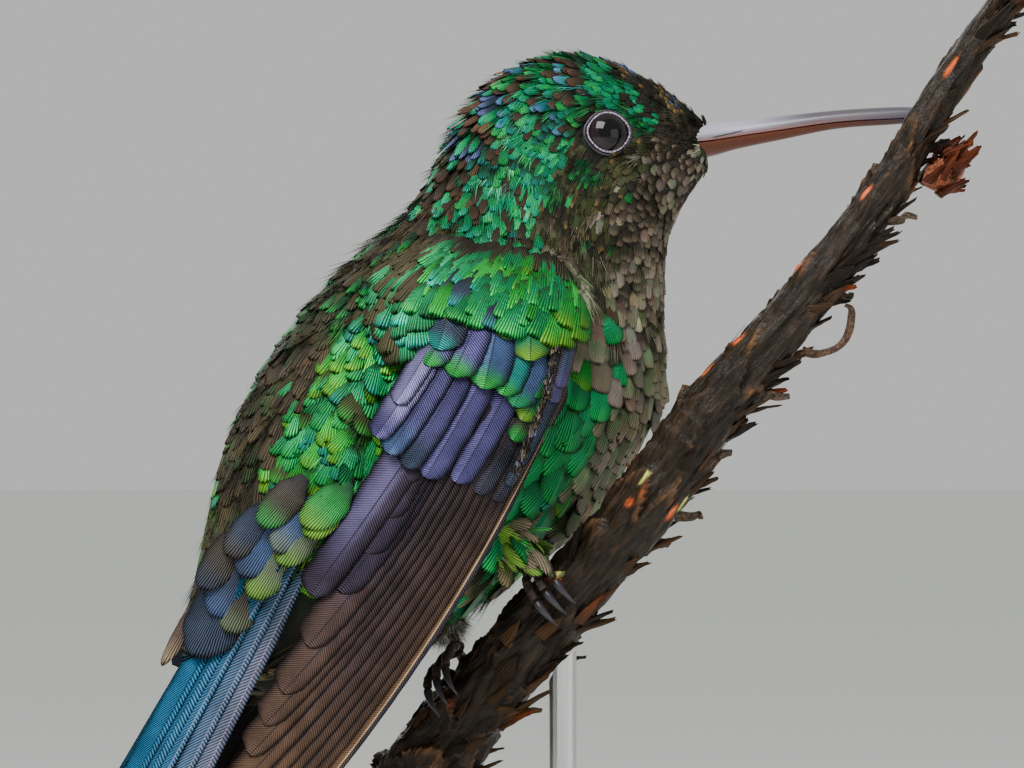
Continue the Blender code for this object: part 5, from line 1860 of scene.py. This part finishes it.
class HUMMINGBIRD_OT_feet(bpy.types.Operator):
    """Draw the legs, the toes with their scales, the claws and the down of the thighs"""

    bl_idname = "hummingbird.feet"
    bl_label = "Feet"

    def execute(self, context):
        bare = context.scene.hb_bare
        scale = self.scale_finish(bare)
        horn = self.claw_finish()
        for side in FEET:
            self.foot(side, bare.toe_radius / MM, scale, horn)
        self.down(dyes_of(context.scene.hb_plumage), context.scene.hb_plumage)
        return {"FINISHED"}

    def foot(self, side, radius, scale, horn):
        t, start, slope = FEET[side]
        ankle = np.array(ANKLE[side])
        palm = perch_point(t, start, FOOT_GAP + radius + 0.15)
        path = np.array([blend(ankle, palm, s) for s in np.linspace(0, 1, 6)])

        def shank(s, a):
            s = np.asarray(s)
            return (0.36 + 0.12 * s**3) * (1 + 0.07 * np.abs(np.sin(math.pi * 5 * s)))

        drawn_ball("tarsus_" + side, 48, 20, along_path(path, shank), scale, "foot_brown", "foot_" + side)
        toes = {"inner": (1.0, 1.15), "middle": (1.0, 0.0), "outer": (1.0, -1.15), "hind": (-1.0, 0.2)}
        for name, (way, across) in toes.items():
            s = np.linspace(0.0, 1.0, 12)
            slide = across * np.minimum(1.0, 0.25 + 1.6 * s) + slope * s
            knuckle = 0.10 * np.sin(math.pi * 3 * s) ** 2
            lift = FOOT_GAP + radius - 0.1 + knuckle
            path = perch_point(np.full(12, t), start + way * TOE_SWEEP * s, lift, slide)

            def girth(s, a):
                s = np.asarray(s)
                scute = np.abs(np.sin(math.pi * 9 * s)) ** 0.5 * ease(-0.3, 0.5, np.cos(a))
                return radius * (0.86 + 0.10 * np.cos(math.pi * 3 * s) ** 2 + 0.13 * scute) * (1 - 0.12 * s)

            drawn_ball(f"toe_{name}_{side}", 90, 20, along_path(path, girth), scale, "foot_brown")
            s = np.linspace(0.0, 1.0, 10)
            turn = start + way * (TOE_SWEEP + 5.0 + 36.0 * s)
            lift = FOOT_GAP + 0.25 + 0.9 * s * (1 - s) - 0.25 * s
            path = perch_point(np.full(10, t), turn, lift, across + slope * (1.1 + 0.35 * s))

            def taper(s, a):
                return 0.33 * (1 - 0.86 * np.asarray(s) ** 1.3) * (1 + 0.12 * np.cos(a) ** 2)

            nail = along_path(path, taper)
            drawn_ball(f"talon_{name}_{side}", 32, 16, nail, horn, "claw_grey", f"claw_{name}_{side}")

    def scale_finish(self, bare):
        finish = Finish("toe_scales", Specular_IOR_Level=0.2)
        grain = finish.noise(3000.0, 4.0)
        blotch = finish.noise(700.0, 2.0)
        skin = finish.mix(blotch.between(0.3, 0.7), times(bare.scutes, 0.45), tuple(bare.scutes))
        return finish.dress(finish.dim(skin, grain * 0.9 + 0.5), grain * 0.3 + 0.35, grain, 0.00006)

    def claw_finish(self):
        finish = Finish("claw_horn", Specular_IOR_Level=0.25, Coat_Weight=0.1, Coat_Roughness=0.2)
        grain = finish.noise(1500.0, 3.0, stretch=(1.0, 1.0, 0.3))
        horn = finish.mix(grain, (0.008, 0.007, 0.008), (0.045, 0.040, 0.048))
        return finish.dress(horn, grain * 0.2 + 0.22, grain, 0.00003)

    def down(self, dyes, plumage):
        """The feathers round the top of each leg: green and buff on the right, white down on the left."""
        rng = np.random.default_rng(23)
        pile = Pile()
        for side in FEET:
            hip, ankle = np.array(HIP[side]), np.array(ANKLE[side])
            way = unit(ankle - hip)
            count = 420
            turn = rng.random(count) * math.tau
            share = rng.random(count) ** 0.7
            one = unit(np.cross(way, (0.0, 1.0, 0.3)))
            two = np.cross(way, one)
            out = np.cos(turn)[:, None] * one + np.sin(turn)[:, None] * two
            girth = np.interp(share, (0.0, 0.5, 1.0), (1.5, 1.2, 0.5))
            roots = hip + (ankle - hip) * share[:, None] + out * girth[:, None]
            lies = unit(way + out * rng.normal(0.15, 0.2, count)[:, None] + 0.2 * rng.normal(size=(count, 3)))
            normals = square_to(out, lies)
            pale = np.where(rng.random(count)[:, None] < 0.55, dyes["white"], dyes["buff"] * 0.8)
            if side == "right":
                tones = np.array([dyes["buff"] * 0.5, dyes["lime"], dyes["green"] * 0.7, dyes["green"]])
                pale = tones[rng.integers(0, len(tones), count)]
            else:
                pale = np.where((share < 0.45)[:, None], dyes["grey_brown"], pale)
            size = sizes_of(
                count,
                length=rng.uniform(1.3, 2.3, count),
                width=rng.uniform(0.35, 0.8, count),
                lift=rng.uniform(4, 20, count),
                curl=rng.uniform(0.05, 0.2, count),
                loose=1.0,
                roll=rng.normal(0.0, 0.2, count),
            )
            look = looks_of(pale, pale, pale * 0.4)
            shift = 0.0 if side == "right" else 0.5
            bake = np.stack((turn / math.tau * 0.48 + 0.005 + shift, share * 0.98 + 0.01), -1)
            if side == "right":
                size["length"], size["width"] = size["length"] * 1.5, size["width"] + 1.0
                size["loose"] = np.full(count, 0.3)
                part = thin_out(roots, np.full(count, 0.45), rng)
                group = chosen(part, size, look)
                lay_feathers(pile, roots[part], normals[part], lies[part], *group, bake[part], rng)
            else:
                lay_brushes(pile, roots, normals, lies, size, look, bake, rng)
        pile.make("leg_down", plumage_finish("down", plumage), "plumage_bronze")


class HUMMINGBIRD_OT_branch(bpy.types.Operator):
    """Make the cut length of branch with its flutes, loose strips, stubs, bud and tendril"""

    bl_idname = "hummingbird.branch"
    bl_label = "Branch"

    def execute(self, context):
        settings = context.scene.hb_perch
        bark = self.bark_finish()
        self.core(settings, bark)
        self.strips(settings)
        self.stubs(bark)
        self.sprigs(bark)
        return {"FINISHED"}

    def relief(self, s, a):
        """Flutes, pointed overlapping sheaths and dents of the bark, from -1 to about 1."""
        rng = np.random.default_rng(3)
        total = np.zeros(np.broadcast(s, a).shape)
        for n in (3, 5, 8, 13, 19):
            drift = rng.uniform(2, 9) * np.sin(s * rng.uniform(5, 12) + rng.random() * 6)
            ridge = np.abs(np.sin(0.5 * n * a + rng.random() * 6 + 0.35 * drift * n / 5))
            total += (ridge - 0.75) * (0.8 / math.sqrt(n))
        for _ in range(90):
            start, turn = rng.uniform(-0.04, 1.0), rng.uniform(-math.pi, math.pi)
            wide, long = rng.uniform(0.30, 0.85), rng.uniform(0.025, 0.075)
            gap = ((a - turn + math.pi) % math.tau - math.pi) / wide
            end = start + long * np.sqrt(np.clip(1 - np.abs(gap), 0.0, 1))
            share = (s - start) / np.maximum(end - start, 1e-4)
            inside = (np.abs(gap) < 1) & (share > 0) & (share < 1)
            rise = -0.5 + rng.uniform(0.6, 1.4) * share + 0.25 * (1 - np.abs(gap))
            total = np.where(inside, np.maximum(total, rise) * 0.6 + rise * 0.4, total)
        total += 0.30 * np.sin(57 * s + 2 * np.sin(3 * a)) * np.sin(23 * s + 2 * a)
        total += 0.18 * np.sin(211 * s + 3 * np.sin(5 * a)) * np.sin(9 * a + 31 * s)
        return np.clip(total, -1.4, 1.25)

    def core(self, settings, material):
        depth = settings.relief / MM

        def shape(s, a):
            t = np.asarray(s) * PERCH_END
            reach = rows_at(PERCH, t)[..., 3]
            end = 1 - 0.10 * (ease(0.012, 0.0, s) + ease(0.988, 1.0, s))
            lift = (self.relief(s, a) * 0.52 - 0.50) * depth * reach / 3.2 + reach * (end - 1)
            return perch_point(t, np.degrees(a), lift)

        item = drawn_ball("branch_bark", 400, 72, shape, material, "bark", "perch", angle=180.0)
        co = coordinates(item)
        self.colour_bark(item, co, settings)

    def colour_bark(self, item, co, settings):
        """Colours each point by its relief, the flutes kept dark as painted shade, with streaks along the
        branch and a few splits and scars.
        """
        rng = np.random.default_rng(9)
        path = rows_at(PERCH, np.linspace(0, PERCH_END, 600))
        tree = point_tree(path[:, :3])
        co = co / MM
        near = np.array([tree.find(p)[1] for p in co])
        off = co - path[near, :3]
        high = np.linalg.norm(off, axis=1) / path[near, 3]
        s = near / 599.0
        across = np.arctan2(-off[:, 1], off[:, 2] * 0.6 - off[:, 0] * 0.8)
        bark, fibre = np.array(settings.bark), np.array(settings.fibre)
        streak = np.zeros(len(co))
        for n in (7, 11, 17, 29):
            streak += np.sin(n * across + 6 * np.sin(s * rng.uniform(4, 9) + rng.random() * 6)) / 4
        # The ridges blend toward the fibre colour and the flutes stay near the dark bark colour: painted
        # shade in the hollows, mixed with the fibres' own streaks.
        share = np.clip(ease(0.86, 1.02, high) * 0.8 + 0.30 * streak, 0, 1)
        tone = blend(bark, fibre, share[:, None] ** 1.5)
        reddish = ease(0.95, 1.04, high) * ease(0.1, 0.6, drift(co, 4, 9.0))
        tone = blend(tone, np.array(settings.rust) * 0.25, reddish[:, None])
        marks = list(BARK_MARKS)
        for _ in range(34):
            row, turn = rng.uniform(0.4, PERCH_END - 0.3), rng.uniform(20, 340)
            x, y, z = perch_point(row, turn)
            marks.append((x, z, rng.uniform(0.4, 1.1), rng.uniform(0.10, 0.22), rng.random() < 0.3, y))
        for x, z, long, wide, green, *depth in marks:
            if depth:
                spot = np.array((x, depth[0], z))
            else:
                facing = np.where(off[:, 1] < 0, np.hypot(co[:, 0] - x, co[:, 2] - z), 99.0)
                spot = co[facing.argmin()]
            at = tree.find(spot)[1]
            way = unit(path[min(at + 3, 599), :3] - path[max(at - 3, 0), :3])
            rel = co - spot
            far = rel @ way
            beside = np.linalg.norm(rel - far[:, None] * way, axis=1)
            mask = np.exp(-((far / long) ** 2) - (beside / wide) ** 2)
            dye = np.array(settings.split) if green else np.array(settings.rust)
            tone = blend(tone, dye, (ease(0.25, 0.7, mask) * (0.85 if not depth else 0.45))[:, None])
        paint_points(item.data, "Bark", np.concatenate((tone, np.ones((len(co), 1))), 1))
        drawn_out = s * 95.0 * 0.14
        grain = np.stack((drawn_out, off[:, 1], off[:, 2] * 0.6 - off[:, 0] * 0.8, np.ones(len(co))), -1)
        paint_points(item.data, "Grain", grain * (MM, MM, MM, 1))

    def bark_finish(self):
        finish = Finish("bark", Specular_IOR_Level=0.20)
        colour, _ = finish.tint("Bark")
        spot, _ = finish.tint("Grain")
        grain = finish.noise(2600.0, 4.0, 0.65, spot=spot)
        coarse = finish.noise(700.0, 3.0)
        colour = finish.dim(colour, grain.between(0.30, 0.75) * 2.2 + coarse * 0.8)
        return finish.dress(colour, coarse * 0.4 + 0.20, grain + coarse * 0.6, 0.00030)

    def strip_finish(self):
        finish = Finish("bark_strips", Specular_IOR_Level=0.15)
        colour, _ = finish.tint("Plumage")
        along = finish.uv("Vane")[0]
        fibres = (along * 19.0 + finish.noise(900.0) * 6.0).sine() * 0.5 + 0.5
        return finish.dress(finish.dim(colour, fibres * 0.7 + 0.5), fibres * 0.2 + 0.5, fibres, 0.00006)

    def strips(self, settings):
        """Loose fibrous strips that stand off the bark, most of them on its lower side."""
        rng = np.random.default_rng(17)
        pile = Pile()
        path = rows_at(PERCH, np.linspace(0, PERCH_END, 400))
        steps = np.concatenate(([0.0], np.cumsum(np.linalg.norm(np.diff(path[:, :3], axis=0), axis=1))))
        rows = np.linspace(0, PERCH_END, 400)

        def surface(flat, height):
            t = np.interp(flat[:, 1], steps, rows)
            reach = rows_at(PERCH, t)[:, 3]
            return perch_point(t, np.degrees(flat[:, 0] / reach), height - 0.75)

        bark, fibre = np.array(settings.bark), np.array(settings.fibre)
        for k in range(settings.strips):
            start = rng.uniform(2.0, steps[-1] - 9.0)
            reach = np.interp(start, steps, path[:, 3])
            x = math.radians(rng.uniform(-180.0, 180.0)) * reach
            long = rng.uniform(2.5, 6.0)
            stand = rng.uniform(0.05, 0.25)
            tone = blend(bark, fibre, rng.random() ** 1.5) * rng.uniform(0.7, 1.4)
            end = np.array(settings.rust) * rng.uniform(0.1, 0.9) if rng.random() < 0.14 else tone * 0.8
            look = painter(tone, tone * 0.6, tone * 0.8, bark, 0.0, end)
            half = rng.uniform(0.25, 0.75)
            tip = (x + rng.normal(0.0, 0.5), start + long)
            strip = [0.01 + 0.98 * edge / settings.strips for edge in (k, k + 0.9)]
            lay_vane(
                pile, surface, (x, start), tip, half, half, rng.normal(0.0, 0.4), look, strip, rows=12,
                columns=2, rise=(-0.05, stand), tilt=rng.normal(0.0, 0.4), thick=0.25, taper=0.72,
                seed=500 + k,
            )
        self.flakes(pile, path, steps, settings, rng)
        pile.make("bark_strips", self.strip_finish(), "bark")

    def flakes(self, pile, path, steps, settings, rng):
        """Short broken scales of bark, thick at the root, most of them below and round the bud."""
        count, scaly, rings, sides = 190, 34, 6, 6
        rows = np.interp(
            rng.uniform(1.0, steps[-1] - 3.0, count), steps, np.linspace(0, PERCH_END, len(path))
        )
        below = rng.random(count) < 0.66
        turn = np.where(below, rng.normal(168.0, 38.0, count), rng.uniform(-180.0, 180.0, count))
        rows[:scaly] = rng.uniform(8.28, 8.62, scaly)
        turn[:scaly] = rng.normal(178.0, 20.0, scaly)
        out = np.where(np.arange(count) < scaly, rng.uniform(0.0, 2.6, count), -0.75)
        roots = perch_point(rows, turn, out)
        normals = unit(perch_point(rows, turn, out + 1.0) - roots)
        way = unit(perch_point(rows + 0.05, turn, out) - roots)
        lies = unit(way + 0.16 * rng.normal(size=(count, 3)) + 0.22 * normals * below[:, None])
        normals = square_to(normals, lies)
        long = rng.uniform(1.4, 2.8, count) * np.where(below, 1.2, 1.0)
        long[rng.random(count) < 0.06] *= 1.8
        half = rng.uniform(0.35, 0.85, count)
        thick = rng.uniform(0.22, 0.45, count)
        stand = np.where(below, rng.uniform(0.25, 1.0, count), rng.uniform(0.1, 0.4, count))
        ring = np.arange(sides) * math.tau / sides
        s = np.linspace(0, 1, rings)
        shrink = (1.02 - s**1.6)[None, :, None]
        bump = rng.uniform(0.75, 1.2, (count, rings, sides))
        x = half[:, None, None] * shrink * np.cos(ring) * bump
        y = (long[:, None] * s)[..., None] * rng.uniform(0.9, 1.1, (count, 1, sides)) + 0 * x
        z = thick[:, None, None] * (0.4 + 0.6 * shrink) * np.sin(ring) * bump
        z = z + (stand[:, None] * s**1.5)[..., None]
        points = spread(roots, normals, lies, *(part.reshape(count, -1) for part in (x, y, z)))
        bark, fibre, rust = (np.array(c) for c in (settings.bark, settings.fibre, settings.rust))
        rusty = rng.random(count) < 0.10
        tone = blend(bark * 0.9, fibre * 0.8, (rng.random(count) ** 2.0)[:, None])
        end = np.where(rusty[:, None], rust * 0.5, tone * 1.3)
        tone[:scaly], end[:scaly] = rust * 0.16, rust * rng.uniform(0.05, 0.6, (scaly, 1))
        colour = blend(tone[:, None, None], end[:, None, None], (s**1.5)[None, :, None, None])
        colour = np.concatenate((colour + 0 * x[..., None], 0 * x[..., None]), -1).reshape(count, -1, 4)
        vane = np.stack((np.cos(ring) + 0 * x, y * 0.2), -1).reshape(count, -1, 2)
        faces = []
        for low in range(0, (rings - 1) * sides, sides):
            for k in range(sides):
                n = (k + 1) % sides
                faces.append((low + k, low + sides + k, low + sides + n, low + n))
        faces += [range(sides), reversed(range((rings - 1) * sides, rings * sides))]
        faces = [tuple(face) for face in faces]
        shape = (np.concatenate([np.array(face) for face in faces]), np.array([len(face) for face in faces]))
        pile.add(points, shape, colour, vane, np.full((count, rings * sides, 2), 0.5))

    def stubs(self, material):
        """Short broken side stalks along the lower side."""
        rng = np.random.default_rng(31)
        for k, row in enumerate((4.7, 5.05, 5.6, 6.25, 7.15, 7.9, 8.6)):
            turn = 180.0 + rng.uniform(-35, 35)
            root = perch_point(row, turn, -0.6)
            tip = perch_point(row + 0.12, turn, rng.uniform(0.8, 1.9))
            path = np.array(
                [blend(root, tip, s) + 0.15 * rng.normal(size=3) * s for s in np.linspace(0, 1, 6)]
            )
            size = rng.uniform(0.35, 0.6)
            phase = rng.random() * 6

            def girth(s, a, size=size, phase=phase):
                return size * (1 - 0.55 * np.asarray(s)) * (1 + 0.25 * np.sin(3 * a + phase + 4 * s))

            item = drawn_ball(f"stub_{k + 1}", 20, 14, along_path(path, girth), material, "bark")
            self.paint_plain(item, (0.040, 0.026, 0.016))

    def paint_plain(self, item, tone):
        co = coordinates(item)
        paint_points(item.data, "Bark", np.tile((*tone, 1.0), (len(co), 1)))
        paint_points(item.data, "Grain", np.insert(co, 3, 1.0, 1))

    def sprigs(self, material):
        """The bud with its scales, and the curled tendril."""
        tables = {
            "bud": (
                8.38,
                ((0.9, -0.3), (1.0, 0.5), (0.9, 0.9), (0.6, 0.9)),
                (0.7, 1.2, 1.2, 0.7, 0.15),
                (0.16, 0.045, 0.02),
            ),
            "tendril": (
                6.7,
                ((1.0, -0.3), (1.1, 0.2), (0.9, 0.5), (0.6, 0.8), (0.3, 1.0), (0.0, 1.1), (-0.5, 0.3)),
                (0.42, 0.36, 0.30, 0.30, 0.34, 0.36, 0.34, 0.16),
                (0.055, 0.030, 0.018),
            ),
        }
        for name, (row, moves, radii, tone) in tables.items():
            path = [perch_point(row, 180.0, FOOT_GAP + radii[0] / 2 - 0.6)]
            for x, z in moves:
                path.append(path[-1] + np.array((x, 0.0, z)))
            radii = np.array(radii)

            def girth(s, a, radii=radii, name=name):
                r = np.interp(np.asarray(s), np.linspace(0, 1, len(radii)), radii)
                if name == "bud":
                    return r * (0.9 + 0.16 * np.abs(np.sin(4 * a + 9 * s)))
                return r * (0.9 + 0.10 * np.sin(5 * a + 12 * s))

            twig = along_path(np.array(path), girth)
            item = drawn_ball("branch_" + name, 60, 24, twig, material, "bark", "perch_" + name)
            self.paint_plain(item, tone)


class HUMMINGBIRD_OT_stand(bpy.types.Operator):
    """Give the stand's base and rod their finishes"""

    bl_idname = "hummingbird.stand"
    bl_label = "Stand"

    def execute(self, context):
        white = Finish("stand_lacquer", Coat_Weight=0.2, Coat_Roughness=0.25)
        cloud = white.noise(60.0, 4.0)
        peel = white.noise(900.0, 2.0)
        lacquer = white.mix(cloud, (0.60, 0.59, 0.56), (0.70, 0.69, 0.66))
        white.dress(lacquer, cloud * 0.15 + 0.38, peel, 0.00002)
        steel = Finish("stand_steel", Metallic=1.0)
        brush = steel.noise(900.0, 3.0, stretch=(1.0, 1.0, 0.06))
        metal = steel.mix(brush, (0.42, 0.42, 0.42), (0.62, 0.62, 0.61))
        steel.dress(metal, brush * 0.25 + 0.22, brush, 0.00002)
        for node, finish in (("stand_base", white), ("stand_rod", steel)):
            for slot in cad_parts[node].material_slots:
                slot.material = finish.material
        return {"FINISHED"}


class HUMMINGBIRD_OT_studio(bpy.types.Operator):
    """Set the floor, the soft lights, the pale surroundings and the camera"""

    bl_idname = "hummingbird.studio"
    bl_label = "Studio"

    def execute(self, context):
        studio = context.scene.hb_studio
        deselect()
        bpy.ops.mesh.primitive_circle_add(vertices=96, radius=5.0, fill_type="NGON", location=(0, 0, -0.0001))
        floor = context.object
        floor.name = "studio_floor"
        finish = Finish("studio_floor", Roughness=0.9, Specular_IOR_Level=0.1)
        cloud = finish.noise(3.0, 2.0)
        floor.data.materials.append(finish.dress(finish.mix(cloud, (0.88, 0.89, 0.87), (0.90, 0.91, 0.89))))
        world = bpy.data.worlds.new("studio")
        world.use_nodes = True
        sky = world.node_tree.nodes["Background"]
        sky.inputs["Color"].default_value = (0.90, 0.93, 0.90, 1.0)
        sky.inputs["Strength"].default_value = 0.64
        context.scene.world = world
        lights = (
            ("key_light", (-0.10, -0.22, 0.34), 0.22, studio.key),
            ("fill_light", (0.35, -0.30, 0.12), 0.30, studio.fill),
            ("rim_light", (-0.15, 0.35, 0.22), 0.25, studio.fill),
        )
        target = Vector((0.0, 0.0, 0.05))
        for name, place, size, power in lights:
            bpy.ops.object.light_add(type="AREA", location=place)
            lamp = context.object
            lamp.name = name
            lamp.data.size, lamp.data.energy = size, power
            lamp.rotation_euler = (target - Vector(place)).to_track_quat("-Z", "Y").to_euler()
        bpy.ops.object.camera_add(location=(0.00296, -1.0, 0.05072), rotation=(math.pi / 2, 0.0, 0.0))
        camera = context.object
        camera.name = "studio_camera"
        camera.data.sensor_width, camera.data.lens = 36.0, studio.lens
        camera.data.clip_start, camera.data.clip_end = 0.05, 20.0
        context.scene.camera = camera
        return {"FINISHED"}


# ---------------------------------------------------------------- panel and running


class HUMMINGBIRD_PT_panel(bpy.types.Panel):
    """Settings and steps of the perched hummingbird"""

    bl_idname = "HUMMINGBIRD_PT_panel"
    bl_label = "Perched hummingbird"
    bl_space_type = "VIEW_3D"
    bl_region_type = "UI"
    bl_category = "Hummingbird"

    def draw(self, context):
        for name in ("hb_plumage", "hb_bare", "hb_perch", "hb_studio"):
            settings = getattr(context.scene, name)
            box = self.layout.box()
            for key in settings.__annotations__:
                box.prop(settings, key)
        for step in STEPS:
            self.layout.operator(step.bl_idname)


SETTINGS = {
    "hb_plumage": PlumageSettings,
    "hb_bare": BareSettings,
    "hb_perch": PerchSettings,
    "hb_studio": StudioSettings,
}
STEPS = (
    HUMMINGBIRD_OT_skin,
    HUMMINGBIRD_OT_body_feathers,
    HUMMINGBIRD_OT_wings,
    HUMMINGBIRD_OT_tail,
    HUMMINGBIRD_OT_eyes,
    HUMMINGBIRD_OT_bill,
    HUMMINGBIRD_OT_feet,
    HUMMINGBIRD_OT_branch,
    HUMMINGBIRD_OT_stand,
    HUMMINGBIRD_OT_studio,
)


def register():
    for kind in (*SETTINGS.values(), *STEPS, HUMMINGBIRD_PT_panel):
        bpy.utils.register_class(kind)
    for name, kind in SETTINGS.items():
        setattr(bpy.types.Scene, name, bpy.props.PointerProperty(type=kind))


def unregister():
    for name in SETTINGS:
        delattr(bpy.types.Scene, name)
    for kind in reversed((*SETTINGS.values(), *STEPS, HUMMINGBIRD_PT_panel)):
        bpy.utils.unregister_class(kind)


def main():
    register()
    bpy.ops.hummingbird.studio()
    for step in STEPS[:-1]:
        getattr(bpy.ops.hummingbird, step.bl_idname.split(".")[1])()
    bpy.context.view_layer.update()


if __name__ == "__main__":
    main()
